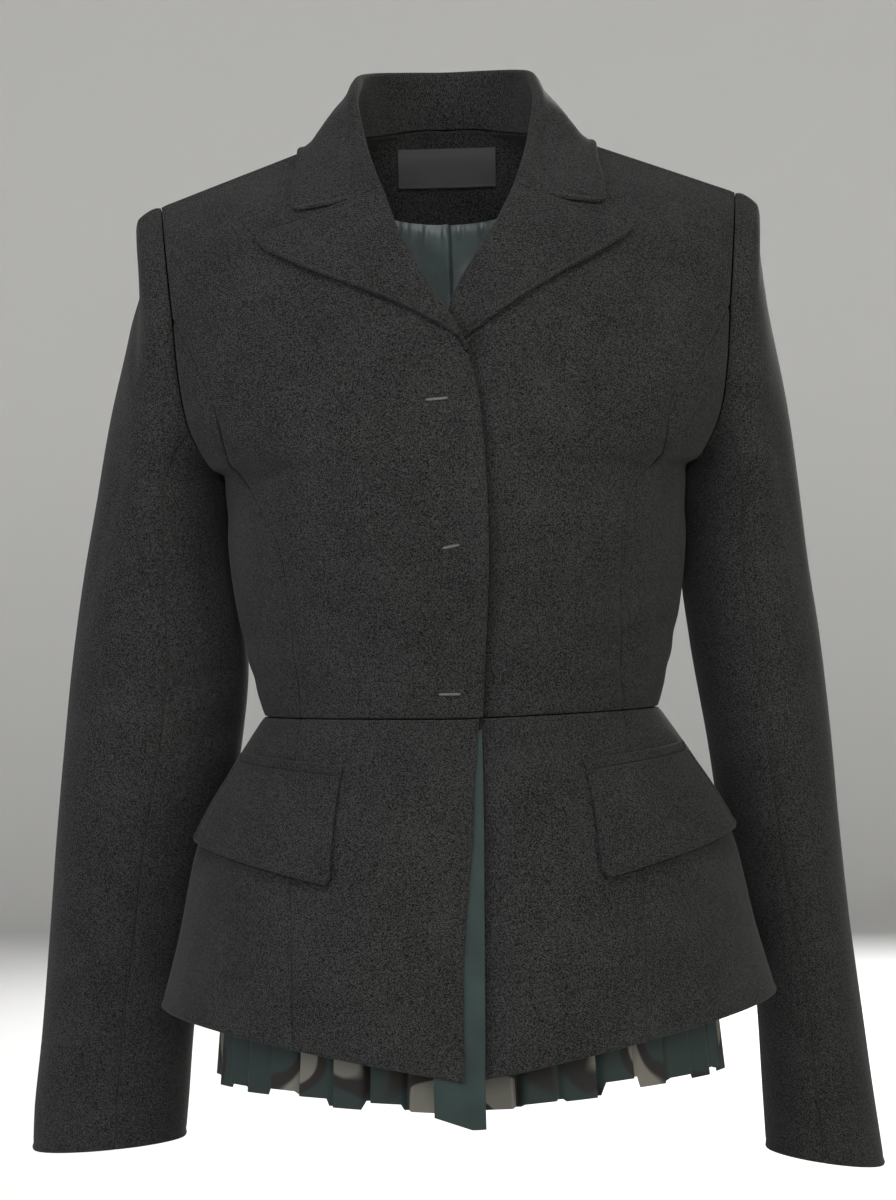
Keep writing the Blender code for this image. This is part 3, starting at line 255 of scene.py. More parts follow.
LAPEL_EDGE = {
    RIGHT: (
        Corner(-8.2, -145), Corner(-4.2, -138), Corner(10, -128.2), Corner(36, -114.5),
        Corner(62.2, -103.2), Corner(87, -93.2), Corner(106, -83.5), Corner(120, -75.2),
        Corner(123.3, -68), Corner(115, -62.8),
    ),
    LEFT: (
        Corner(0, -143), Corner(9.2, -137.1), Corner(24, -127), Corner(44, -113.7), Corner(68, -99.3),
        Corner(88, -89), Corner(105, -78.8), Corner(114.6, -72), Corner(118, -67), Corner(112.5, -62.1),
    ),
}
LAPEL_STEPS = (0.15, 0.3, 0.5, 0.75, 1.0)
LAPEL_STAND = 1.8
LAPEL_START = 0.04
LAPEL_THIN = 0.35
LAPEL_THIN_Z, LAPEL_FULL_Z = -146.0, -130.0
FOLD_LIFT = 0.3
NOTCH_X = 67.5
NOTCH_SOFT = 4.0

# The collar from the gorge seam to the centre back: roll, middle of the fall, and outer edge
CollarRow = namedtuple("CollarRow", "fold_x fold_y fold_z mid_x mid_y mid_z edge_x edge_y edge_z")

COLLAR = (
    CollarRow(41.5, -60, -38.7, 66.5, -63, -45.8, 101.5, -57, -48.6),
    CollarRow(48, -42, -20, 73, -46, -24, 103, -44, -33),
    CollarRow(53, -20, -1, 76, -22, -4, 100, -20, -16),
    CollarRow(58.5, 8, 30, 78, 7, 16, 98, 6, -6),
    CollarRow(56, 46, 50, 74, 52, 28, 90, 57, -7),
    CollarRow(34, 79, 56, 43, 88, 34, 51, 96, -4),
    CollarRow(0, 92, 57, 0, 97.5, 30, 0, 101, -4),
)
COLLAR_STATIONS = (0, 0.16, 0.6, 1.15, 2, 3, 3.5, 4, 4.5, 5.3, 6)
COLLAR_FOLD_RADIUS = 3.5
COLLAR_REST_STATIONS = (1.15, 2, 4, 6)
COLLAR_RESTS = (3.0, 3.1, 3.5, 3.5)
COLLAR_CORNER_STATIONS = (0, 0.16, 0.6)
COLLAR_CORNER_TRIMS = (0.11, 0.015, 0.0)
COLLAR_FLAT_UNTIL, COLLAR_FREE_FROM = 1.15, 3
COLLAR_SETTLE = (0, 0, 0, 0.3, 1.0)
FALL_TO_MIDDLE = (0.5, 1.0)
FALL_TO_EDGE = (0.33, 0.66, 1.0)
STAND_STEPS = (0.0, 0.35, 0.7)
FOLD_TURNS = (0, 45, 90, 135, 180)
GORGE_COLUMNS = len(STAND_STEPS) + len(FOLD_TURNS) + 2
STAND_SHARE = 0.6
STAND_SEAM_DROP = 12.5
STAND_SEAM_DEPTH = 1.0
STAND_SEAM_WIDTH = 0.9

# Sleeve caps: how strongly the cloth springs out of the armhole
CAP_ROWS = 58
CAP_EASE = 1.25
CAP_PULL_UNDER = 20.0
CAP_PULL_TOP = 62.0
CAP_SPREAD = 0.35
CAP_RISE = 0.12
CAP_LEAST_FALL = 15.0
ARMHOLE_GAP = 0.1

# Sleeves below the cap: inner and outer reach, depth, and how far the level tips down to the outside
SleeveRow = namedtuple("SleeveRow", "z inner outer centre_y half_depth tip")

SLEEVES = {
    RIGHT: (
        SleeveRow(-235, 154, 239, 16, 58, 0),
        SleeveRow(-285, 148, 250, 28, 56, 0),
        SleeveRow(-341, 141.5, 259.5, 34, 53, 0),
        SleeveRow(-401, 148.5, 267.5, 41, 51, 0),
        SleeveRow(-455, 163, 274.5, 51, 49, 0),
        SleeveRow(-522, 175, 282.5, 64, 47, 0.5),
        SleeveRow(-590, 187, 291, 76, 45, 2),
        SleeveRow(-640, 192, 297.5, 78, 44, 3),
        SleeveRow(-667, 195, 299, 78, 43, 3.2),
    ),
    LEFT: (
        SleeveRow(-235, 153.5, 228, 17, 60, 0),
        SleeveRow(-285, 149, 234, 28, 58, 0),
        SleeveRow(-335, 154, 241, 34, 56, 0),
        SleeveRow(-401, 164.5, 247.5, 41, 54, 0),
        SleeveRow(-455, 172, 252, 52, 52, 0),
        SleeveRow(-522, 183, 259, 66, 49, 1.5),
        SleeveRow(-590, 196, 268, 77, 46, 4),
        SleeveRow(-640, 198, 274, 79, 44, 6),
        SleeveRow(-689, 200, 280, 79, 43, 6.3),
    ),
}
# The padded roll along each sleeve head and the hollow under it: distance from the armhole, and size
HeadShape = namedtuple("HeadShape", "distance width height")

SLEEVE_HEADS = {
    RIGHT: (HeadShape(15, 17, 6.5), HeadShape(58, 18, -4.0), HeadShape(85, 50, -5.5)),
    LEFT: (HeadShape(15, 17, 6.0), HeadShape(80, 52, -4.5)),
}
HEAD_POWER = 1.5
SLEEVE_FOLD_FADE = 6.0
SLEEVE_FRONT_SEAM_PLACE = 7.5
SLEEVE_BACK_SEAM_PLACE = 9
SLEEVE_FRONT_SEAM_TURN = 98.0
SLEEVE_BACK_SEAM_TURN = 255.0

# Flap pockets: levels counted in rows of PEPLUM_FRONT, turns in degrees from the centre line
FLAP_TOP_INNER, FLAP_TOP_OUTER = 1.85, 1.57
FLAP_LOW_INNER, FLAP_LOW_OUTER = 4.12, 3.67
FLAP_TURN_INNER_TOP, FLAP_TURN_INNER_LOW = 30.5, 28.0
FLAP_TURN_OUTER = 76.0
FLAP_LIFT_TOP = 2.9
FLAP_LIFT_INNER = 6.2
FLAP_LIFT_OUTER = 9.0
FLAP_CORNER_POWER = 3
FLAP_HANG_POWER = 1.5
FLAP_CORNER_WIDTH = 0.035
FLAP_CORNER_HEIGHT = 0.05
WELT_HEIGHT = 0.27
FLAP_ROWS, FLAP_COLUMNS = 34, 46
WELT_ROWS = 5

# The pleated layer: how many pleats, their depth at each level, where each half starts, one pleat's shape
PLEATS_PER_HALF = 18
PLEAT_DEPTHS = (1.2, 4.5, 6.5, 7.0, 7.5)
UNDERSKIRT_STARTS = {LEFT: 2.0, RIGHT: 6.9}
UNDERSKIRT_STOPS = (0, 1, 2, 3, 4)
Crease = namedtuple("Crease", "share depth")

PLEAT = (Crease(0.0, 0.5), Crease(0.70, 0.0), Crease(0.85, 1.0), Crease(1.0, 0.5))
PLEAT_SHARES = (0.0, 0.12, 0.26, 0.40, 0.53, 0.62, 0.67, 0.70, 0.73, 0.78, 0.82, 0.85, 0.88, 0.93)
PLEAT_SOFTNESS = 0.015
# Where the cloth turns under in each pleat, and how far the print jumps there
PLEAT_TUCK = 0.85
PRINT_JUMP = 83.0
# How deep each pleat is, and how far its hem drops, as shares of the usual, from the front to the back
PLEAT_SWELLS = (
    0.80, 1.10, 0.92, 1.15, 0.85, 1.02, 1.18, 0.78, 1.05, 0.95, 1.12, 0.84, 1.0, 1.16, 0.9, 1.06, 0.82, 1.0)
PLEAT_DROPS = (
    2.4, 0.3, 0.9, -0.3, 0.7, -0.9, 0.4, 1.0, -0.5, 0.3, -0.8, 0.6, -0.2, 0.9, -0.7, 0.1, 0.5, 0.0)
# How many pleats each half's shares are moved along by, and how fast the hem's drop fades upwards
SWELL_SHIFT = 5
DROP_SHIFT = 3
DROP_FADE = 3

# Front slit strip, in rows of PEPLUM_FRONT
STRIP_STOPS = (0.35, 1, 2, 3, 4, 5, 6)
STRIP_INNER = (Line(0.35, 14), Line(2, 14), Line(6, 24))
STRIP_EDGE = (Line(0.35, -12.4), Line(1, -12.6), Line(3, -12), Line(5, -10), Line(6, -8.4))
STRIP_POINT_DROP = 30.0
STRIP_INNER_DROP = 25.0
STRIP_COLUMNS = 16
STRIP_TAIL_ROWS = 10

# Closure bars: level in rows of FRONT, distance from the centre line, tilt across the bar
Bar = namedtuple("Bar", "name place x tilt")

BARS = (
    Bar("closure_bar_top", 7.8, 10.8, 0.0),
    Bar("closure_bar_middle", 3.37, 2.6, 0.09),
    Bar("closure_bar_bottom", 0.47, 7.6, 0.0),
)
BAR_LENGTH = 14.0
BAR_HALF_HEIGHT = 0.85
BAR_LIFT = 0.75
BAR_FLATNESS = 0.6
BAR_RIDGES = 19
BAR_RIDGE_DEPTH = 0.10
BAR_STEPS_PER_RIDGE = 4
BAR_END_POWER = 8
BAR_END_RADIUS = 0.05
THREAD_SIDES = 6

# Inside of the back neck
FACING_ROWS, FACING_COLUMNS = 30, 46
FACING_HALF_WIDTH = 57.0
FACING_LOW_CENTRE = 11.0
FACING_LOW_SIDE = 11.45
FACING_NECK_TRIM = 0.01
FACING_RISE = 1.1
FACING_RISE_FROM = 0.6
LINING_ROWS, LINING_COLUMNS = 150, 140
LINING_LOW_PLACE = 0.25
LINING_LOW_HALF_WIDTH = 70.0
LINING_PLEAT_REACH = 22.0
LINING_PLEAT_EDGE = 1.6
LINING_PLEAT_DEPTH = 3.0
LINING_PLEAT_FADE = 60
LINING_TUCK = 0.08
LINING_TUCK_DEPTH = 0.95
LINING_TUCK_REACH = 6.0
LABEL_ROWS, LABEL_COLUMNS = 16, 40
LABEL_CLEARANCE = 1.2
LABEL_HALF_WIDTH = 34.5
LABEL_LOW_Z, LABEL_HIGH_Z = -21.0, 5.0

# Soft troughs (negative depth) and ridges in the cloth: where each lies, its tilt from upright and its size
Fold = namedtuple("Fold", "x z tilt length width depth")

FRONT_FOLDS = {
    RIGHT: (
        Fold(150, -196, 38, 70, 11, -1.6), Fold(128, -172, 30, 90, 20, 0.9),
        Fold(112, -352, 64, 60, 8, -0.9), Fold(84, -366, 78, 74, 7, -0.7),
        Fold(60, -330, 20, 120, 22, -0.8),
    ),
    LEFT: (
        Fold(152, -190, 34, 76, 12, -1.8), Fold(126, -166, 28, 84, 18, 0.8),
        Fold(116, -340, 58, 66, 9, -1.0), Fold(88, -362, 80, 66, 7, -0.6),
        Fold(44, -318, -16, 130, 20, -0.9),
    ),
}
SIDE_FOLDS = (
    Fold(138, -330, 80, 70, 8, -1.2), Fold(136, -352, 86, 80, 7, -1.0),
    Fold(147, -250, 62, 60, 11, -1.3),
)
BACK_FOLDS = (
    Fold(70, -352, 82, 120, 8, -1.2), Fold(60, -328, 76, 96, 9, -0.9),
    Fold(132, -188, -40, 90, 13, -1.7), Fold(106, -160, -34, 110, 20, 1.0),
    Fold(34, -300, 8, 150, 24, -0.9),
)
PEPLUM_FOLDS = {
    RIGHT: (Fold(70, -520, 4, 170, 20, 1.3), Fold(26, -530, -3, 150, 16, -1.0)),
    LEFT: (Fold(78, -530, 5, 160, 22, 1.2), Fold(34, -520, -2, 170, 18, -1.1)),
}
# The same on a sleeve: turn from the outside round the front, level, and size
SLEEVE_FOLDS = {
    RIGHT: (
        Fold(40, -262, 14, 130, 12, -1.3), Fold(128, -352, 72, 60, 10, -2.0),
        Fold(140, -386, 80, 66, 9, -1.6), Fold(226, -370, -74, 70, 11, -1.5),
        Fold(66, -430, 10, 150, 14, -1.0), Fold(300, -300, -10, 150, 15, -1.2),
        Fold(20, -560, 4, 160, 16, -0.8), Fold(250, -470, -18, 110, 12, -1.1),
    ),
    LEFT: (
        Fold(46, -250, 12, 120, 12, -1.2), Fold(124, -340, 70, 66, 10, -2.1),
        Fold(138, -378, 82, 60, 9, -1.5), Fold(230, -362, -72, 70, 11, -1.6),
        Fold(72, -450, 8, 160, 14, -1.1), Fold(296, -310, -12, 140, 15, -1.2),
        Fold(24, -580, 3, 150, 16, -0.8), Fold(246, -480, -16, 120, 12, -1.0),
    ),
}
# Ridges under both arms, which close the gap between sleeve and body
UNDERARM_RIDGES = (Fold(180, -226, 90, 84, 13, 4.6), Fold(180, -252, 90, 84, 15, 3.2))
# The right front stands off a little below the break
FRONT_GAPE = Fold(-20, -264, 0, 120, 18, 3.6)

# Lining gathers below the facing
Gather = namedtuple("Gather", "pitch shift share")

GATHERS = (Gather(8.3, 0.4, 1.0), Gather(5.1, 2.0, 0.6), Gather(13.7, 1.1, 0.7))
GATHER_DEPTH = 0.8
GATHER_REACH = 7.0
GATHER_EDGE_POWER = 4
LINING_FOLDS = (
    Fold(9, -96, 20, 40, 6, -1.6), Fold(22, -92, 62, 34, 7, 2.0), Fold(-16, -120, 4, 110, 9, 0.8),
)

# Weaves: Blender's wave texture repeats every pi / 10 at a scale of 1
WAVE_SCALE = np.pi / 10
WEAVE_DETAIL = 2.0
WEAVE_DETAIL_SCALE = 1.5

# Stage
SENSOR = 36.0
CAMERA_X, CAMERA_Z = -0.007, -0.304
CAMERA_ROLL = -1.5
FLOOR_RADIUS = 4.2
SWEEP_RADIUS = 1.0
WALL_TOP = 4.0
STAGE_STEPS = 24
STAGE_TURNS = 97
FLOOR_ROUGHNESS = 0.9
Lamp = namedtuple("Lamp", "name x y z width height share colour")

LAMPS = (
    Lamp("left_box", -2.0, -1.8, 0.60, 1.2, 1.6, 0.64, (0.94, 0.98, 1.0)),
    Lamp("right_box", 2.0, -1.85, 0.55, 1.2, 1.6, 0.60, (1.0, 0.985, 0.90)),
    Lamp("front_box", -0.2, -2.2, 2.2, 1.3, 0.9, 1.00, (1.0, 1.0, 1.0)),
    Lamp("low_box", 0.0, -3.2, 0.2, 1.4, 1.0, 0.55, (1.0, 1.0, 1.0)),
    Lamp("top_box", 0.0, 0.5, 2.0, 2.4, 1.2, 0.25, (1.0, 1.0, 1.0)),
    Lamp("back_box", 0.9, 3.0, 0.90, 1.6, 1.6, 1.90, (1.0, 1.0, 1.0)),
)
LAMP_AIM = (0.0, 0.0, -0.3)


def length_setting(name, description, default, lowest, highest):
    """A length in metres."""
    return bpy.props.FloatProperty(
        name=name, description=description, default=default, min=lowest, max=highest, unit="LENGTH")


def colour_setting(name, description, default):
    """A colour in linear red, green and blue."""
    return bpy.props.FloatVectorProperty(
        name=name, description=description, default=default, min=0.0, max=1.0, size=3, subtype="COLOR")


class BlazerSizes(bpy.types.PropertyGroup):
    """Cloth thicknesses, the fineness of the meshes and the depth of creases."""

    spacing: length_setting("Mesh spacing", "Distance between points on the wool", 0.0022, 0.0015, 0.01)
    wool: length_setting("Wool", "Thickness of the body cloth", 0.0019, 0.0008, 0.003)
    collar: length_setting("Collar and lapels", "Thickness of the turned-back cloth", 0.0021, 0.001, 0.003)
    flap: length_setting("Pocket flaps", "Thickness of the flaps and welts", 0.0022, 0.001, 0.003)
    chiffon: length_setting("Chiffon", "Thickness of the pleated layer", 0.0005, 0.0003, 0.001)
    lining: length_setting("Lining", "Thickness of lining, facing and label", 0.0008, 0.0004, 0.0012)
    creases: bpy.props.FloatProperty(
        name="Creases", description="How deep the soft creases are", default=1.0, min=0.0, max=2.0,
        subtype="FACTOR")
    hem_drop: length_setting("Hem unevenness", "How far pleats' hems hang up or down", 0.0034, 0.0, 0.006)


class BlazerColours(bpy.types.PropertyGroup):
    """Colours of the cloths, the threads and the stage."""

    wool_dark: colour_setting("Wool, shaded fibres", "Darker colour in the wool", (0.0010, 0.0011, 0.0011))
    wool_light: colour_setting("Wool, lit fibres", "Lighter colour in the wool", (0.0300, 0.0302, 0.0293))
    satin: colour_setting("Lining", "Colour of the satin lining", (0.0400, 0.0560, 0.0555))
    chiffon: colour_setting("Chiffon", "Ground colour of the pleated layer", (0.0120, 0.0215, 0.0200))
    chiffon_pale: colour_setting(
        "Chiffon, pale patches", "Pale colour of the printed patches", (0.1150, 0.1090, 0.0930))
    chiffon_brown: colour_setting(
        "Chiffon, dark patches", "Dark colour of the printed patches", (0.0095, 0.0075, 0.0065))
    label: colour_setting("Label", "Colour of the blank neck label", (0.0100, 0.0100, 0.0110))
    thread: colour_setting("Thread", "Colour of the closure bars", (0.0850, 0.0860, 0.0830))
    floor: colour_setting("Floor", "Colour of the floor and its wall", (0.7200, 0.7150, 0.7050))


class BlazerStage(bpy.types.PropertyGroup):
    """Camera, lights and floor."""

    distance: length_setting("Camera distance", "From the camera to the garment's middle", 2.6, 1.0, 10.0)
    lens: bpy.props.FloatProperty(
        name="Lens", description="Focal length", default=118.0, min=20.0, max=300.0, unit="CAMERA")
    light: bpy.props.FloatProperty(
        name="Lamps", description="Power of a lamp whose share is one", default=58.0, min=0.0, max=500.0,
        unit="POWER")
    sky: bpy.props.FloatProperty(
        name="Surrounding light", description="Strength of the even light from all round", default=0.08,
        min=0.0, max=3.0)
    floor_drop: length_setting("Floor level", "Height of the floor", -0.86, -2.0, -0.75)


def unit(vectors):
    """The vectors divided by their lengths."""
    return vectors / np.linalg.norm(vectors, axis=-1, keepdims=True)


def cubic(t, first, last, first_slope, last_slope):
    """Hermite's cubic between two points with a slope at each, for t from 0 to 1."""
    return ((1 + 2 * t) * (1 - t) ** 2 * first + t * (1 - t) ** 2 * first_slope
            + t * t * (3 - 2 * t) * last + t * t * (t - 1) * last_slope)


def run_lengths(points):
    """The running length along a path, from 0 at its first point."""
    return np.concatenate([[0], np.cumsum(np.linalg.norm(np.diff(points, axis=0), axis=1))])


def smooth_rows(table, place):
    """A table's columns at a row number that may be fractional.

    Cubic pieces whose slopes never overshoot their rows; past the ends the table runs on straight.
    """
    rows = np.array(table, dtype=float)
    steps = np.diff(rows, axis=0)
    product = steps[:-1] * steps[1:]
    total = steps[:-1] + steps[1:]
    mean = np.where(product > 0, 2 * product / np.where(total == 0, 1, total), 0.0)
    slopes = np.vstack([steps[:1], mean, steps[-1:]])
    place = np.asarray(place, dtype=float)
    low = np.clip(np.floor(place).astype(int), 0, len(rows) - 2)
    inside = np.clip(place, 0, len(rows) - 1)
    past = (place - inside)[..., None]
    t = (inside - low)[..., None]
    curve = cubic(t, rows[low], rows[low + 1], slopes[low], slopes[low + 1])
    end_slope = np.where(past > 0, steps[-1], steps[0])
    return curve + past * end_slope


def line_x(line, place):
    """A drawn line's second column at each level: a smooth curve through the line's points."""
    fine = smooth_rows(line, np.linspace(0, len(line) - 1, LINE_SAMPLES))
    return np.interp(place, fine[:, 0], fine[:, 1])


def surface(table, place, turn):
    """The outside of a half shell, at a level and a turn from 0 at the centre to 90 at the side.

    x is the section's reach times the sine of the turn; y goes from the side's depth to the centre's as
    (1 - |sine|^power)^bend; z runs with the sine from the centre's height to the side's, along a hyperbola
    where the section is soft at the centre.
    """
    section = smooth_rows(table, place)
    edge_z, edge_x, edge_y, centre_z, centre_y, power, bend, soft = np.moveaxis(section, -1, 0)
    across = np.sin(np.radians(turn))
    reach = np.minimum(np.abs(across), 1.0)
    bulge = (1 - reach ** power) ** bend
    x = edge_x * across
    y = edge_y + (centre_y - edge_y) * bulge
    fall = (np.hypot(reach, soft) - soft) / (np.hypot(1, soft) - soft)
    z = centre_z + (edge_z - centre_z) * fall
    return np.stack([x, y, z], axis=-1)


def surface_normal(table, place, turn):
    """The outward direction of a half shell: the cross product of small steps along it and round it."""
    place, turn = np.broadcast_arrays(np.asarray(place, float), np.asarray(turn, float))
    last = len(table) - 1
    place_low = np.minimum(place, last) - NORMAL_PLACE_STEP
    place_high = np.where(place >= last, place, place + NORMAL_PLACE_STEP)
    along = surface(table, place_high, turn) - surface(table, place_low, turn)
    turn_high = np.minimum(turn + NORMAL_TURN_STEP, 90.0)
    around = surface(table, place, turn_high) - surface(table, place, turn_high - 2 * NORMAL_TURN_STEP)
    normal = unit(np.cross(around, along))
    facing = np.sign(np.sum(normal * from_axis(surface(table, place, turn)), axis=-1, keepdims=True))
    return normal * facing


def from_axis(points):
    """Directions from the body's upright middle line, which ends at chest height, to the points."""
    x, y, z = np.moveaxis(points, -1, 0)
    return np.stack([x, y, z - np.minimum(z, AXIS_TOP_Z)], axis=-1)


def reach_at(table, place):
    """How far from the centre line each level ends, at the side or armhole."""
    return smooth_rows(table, place)[..., 1]


def turn_at(table, place, x):
    """The turn at which a section reaches x: the arc sine of x over its reach."""
    return np.degrees(np.arcsin(np.clip(x / reach_at(table, place), -1, 1)))


def place_at(table, x, z):
    """The level at which a shell passes through x and z, by halving the interval."""
    low = np.zeros(np.shape(x))
    high = np.full(np.shape(x), len(table) - 1.0)
    for _ in range(HALVINGS):
        middle = (low + high) / 2
        height = surface(table, middle, turn_at(table, middle, x))[..., 2]
        rising = table[-1].edge_z > table[0].edge_z
        too_low = (height < z) == rising
        low = np.where(too_low, middle, low)
        high = np.where(too_low, high, middle)
    return (low + high) / 2


def lifted(table, place, turn, lift):
    """Points of a shell moved out along its normals."""
    lift = np.asarray(lift, dtype=float)[..., None]
    return surface(table, place, turn) + lift * surface_normal(table, place, turn)


def tucked(points, side):
    """The left half set back near the centre front by a smooth step, where the right half laps over it."""
    if side == RIGHT:
        return points
    amount = np.clip((UNDERLAP_FROM_X - points[..., 0]) / (UNDERLAP_FROM_X - UNDERLAP_TO_X), 0, 1)
    shift = np.where(points[..., 1] < 0, UNDERLAP * amount * amount * (3 - 2 * amount), 0.0)
    return points + shift[..., None] * np.array([0.0, 1.0, 0.0])


def fine_places(table, stops, spacing):
    """Levels from stop to stop, each stretch cut into equal steps of about one spacing on the shell."""
    stops = np.asarray(stops, dtype=float)
    corners = surface(table, stops, MEASURED_TURN)
    gaps = np.linalg.norm(np.diff(corners, axis=0), axis=1)
    counts = np.maximum(np.ceil(gaps / spacing).astype(int), 1)
    return np.interp(np.arange(counts.sum() + 1), np.concatenate([[0], np.cumsum(counts)]), stops)


def panel_grid(table, places, inner_x, outer_x, columns):
    """Levels and turns of a panel between two drawn lines, in even steps of turn."""
    start = turn_at(table, places, inner_x)
    end = turn_at(table, places, outer_x)
    turns = start[:, None] + (end - start)[:, None] * np.linspace(0, 1, columns)
    return np.repeat(places[:, None], columns, axis=1), turns


def panel_points(table, places, inner_x, outer_x, columns):
    """The outer points of a panel between two drawn lines."""
    return surface(table, *panel_grid(table, places, inner_x, outer_x, columns))


def spline(control, spacing, axis=0):
    """Smooth curves through control points along one axis of a grid, sampled about one spacing apart.

    Cubic pieces over the mean chord lengths; a point's slope is the mean of its neighbours' chords, each
    weighted by the other's length.
    """
    points = np.moveaxis(control, axis, 0)
    chords = np.linalg.norm(np.diff(points, axis=0), axis=-1).mean(axis=1)
    run = chords[:, None, None]
    steps = np.diff(points, axis=0) / run
    middle = (run[1:] * steps[:-1] + run[:-1] * steps[1:]) / (run[:-1] + run[1:])
    slopes = np.concatenate([steps[:1], middle, steps[-1:]])
    counts = np.maximum(np.ceil(chords / spacing).astype(int), 2)
    knots = np.concatenate([[0], np.cumsum(counts)])
    places = np.interp(np.arange(knots[-1] + 1), knots, np.arange(len(points)))
    low = np.minimum(places.astype(int), len(points) - 2)
    t = (places - low)[:, None, None]
    curve = cubic(t, points[low], points[low + 1], run[low] * slopes[low], run[low] * slopes[low + 1])
    return np.moveaxis(curve, 0, axis)


def edge_loops(values):
    """A grid with extra rows and columns at set distances from its edges, on straight lines.

    The first three channels are points; any others are carried along.
    """
    for axis in (0, 1):
        values = np.moveaxis(values, axis, 0)
        for _ in ("first edge", "last edge"):
            gap = np.linalg.norm(values[1, :, :3] - values[0, :, :3], axis=-1).mean()
            shares = np.array([step / gap for step in EDGE_STEPS if step < EDGE_ROOM * gap])
            added = values[0] + shares[:, None, None] * (values[1] - values[0])
            values = np.concatenate([values[:1], added, values[1:]])[::-1]
        values = np.moveaxis(values, 0, axis)
    return values


def grid_normals(points, outward):
    """Unit normals of a grid: the cross product of its central differences, turned to the outward side."""
    normals = unit(np.cross(np.gradient(points, axis=0), np.gradient(points, axis=1)))
    return normals * np.sign(np.sum(normals * outward))


def border_distances(points):
    """Distances along the grid's lines from its first row, last row, first column and last column."""
    down = np.zeros(points.shape[:2])
    down[1:] = np.cumsum(np.linalg.norm(np.diff(points, axis=0), axis=-1), axis=0)
    across = np.zeros(points.shape[:2])
    across[:, 1:] = np.cumsum(np.linalg.norm(np.diff(points, axis=1), axis=-1), axis=1)
    return down, down[-1:] - down, across, across[:, -1:] - across


def grid_quads(rows, columns):
    """Four-sided faces of a grid of points numbered row by row."""
    numbers = np.arange(rows * columns).reshape(rows, columns)
    corners = (numbers[:-1, :-1], numbers[:-1, 1:], numbers[1:, 1:], numbers[1:, :-1])
    return np.stack(corners, axis=-1).reshape(-1, 4)


def fold_relief(folds, across, along):
    """Soft troughs and ridges: each is a bell curve across its line that fades out towards its ends."""
    total = np.zeros(np.shape(across))
    for fold in folds:
        lean = np.radians(fold.tilt)
        run = (across - fold.x) * np.sin(lean) + (along - fold.z) * np.cos(lean)
        offset = (across - fold.x) * np.cos(lean) - (along - fold.z) * np.sin(lean)
        total += fold.depth * np.exp(-(offset / fold.width) ** 2 - (2 * run / fold.length) ** 4)
    return total


# A piece of cloth as flat lists: middle points, outward directions, half thickness, fullness, cloth
# coordinates and faces, with the cut's width and length
Cloth = namedtuple("Cloth", "points normals half fullness uv quads width length")


def edge_profile(distances, borders, thickness):
    """Half the thickness and the fullness of cloth near its borders.

    The half thickness rises as a quarter circle over each border's radius; a seam draws the cloth in by a
    bell curve; a turned edge swells it by one near the border and presses a line behind that.
    """
    nearness = np.clip(np.min([d / b.radius for d, b in zip(distances, borders)], axis=0), 0, 1)
    half = thickness / 2 * np.sqrt(1 - (1 - nearness) ** 2)
    fullness = np.zeros(half.shape)
    for distance, border in zip(distances, borders):
        fullness -= border.dip * np.exp(-(distance / border.width) ** 2)
        fullness += border.puff * np.exp(-((distance - PUFF_PLACE) / PUFF_WIDTH) ** 2)
        fullness -= border.press * np.exp(-((distance - PRESS_PLACE) / PRESS_WIDTH) ** 2)
    return half, fullness


def sewn_share(points):
    """How far lapels and collar are sewn flat together at the gorge: 1 inside the notch, 0 beyond."""
    return np.clip((NOTCH_X - np.abs(points[..., 0])) / NOTCH_SOFT, 0, 1)


def grid_cloth(points, normals, thickness, borders, relief=0.0, sewn=0.0):
    """Cloth on a grid of outer points: its middle lies half a thickness behind them.

    The thickness is one number or a grid of them.
    Where the sewn share is 1 the first and last rows are flat seams, whatever their borders say.
    """
    distances = border_distances(points)
    half, fullness = edge_profile(distances, borders, thickness)
    flat_half, flat_fullness = edge_profile(distances, (FLAT_SEAM, FLAT_SEAM, *borders[2:]), thickness)
    half = half + sewn * (flat_half - half)
    fullness = fullness + sewn * (flat_fullness - fullness)
    behind = np.broadcast_to(thickness, points.shape[:2]) / 2
    middle = points - normals * behind[..., None]
    across = distances[2] - distances[2][:, [points.shape[1] // 2]]
    uv = np.stack([across, distances[0]], axis=-1)
    return Cloth(middle.reshape(-1, 3), normals.reshape(-1, 3), half.ravel(), (fullness + relief).ravel(),
                 uv.reshape(-1, 2), grid_quads(*points.shape[:2]), distances[2].max(), distances[0].max())


def new_piece(name, vertices, faces, uv, look):
    """A smooth-shaded object at the origin with a cloth UV map in metres and one of the finishes."""
    mesh = bpy.data.meshes.new(name)
    mesh.from_pydata((vertices * MM).tolist(), [], faces, shade_flat=False)
    corners = np.empty(len(mesh.loops), dtype=np.int32)
    mesh.loops.foreach_get("vertex_index", corners)
    layer = mesh.uv_layers.new(name=UV_NAME)
    layer.data.foreach_set("uv", (uv[corners] * MM).astype(np.float32).ravel())
    mesh.materials.append(finish(look))
    piece = bpy.data.objects.new(name, mesh)
    bpy.context.collection.objects.link(piece)
    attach(piece, BODY)
    return piece


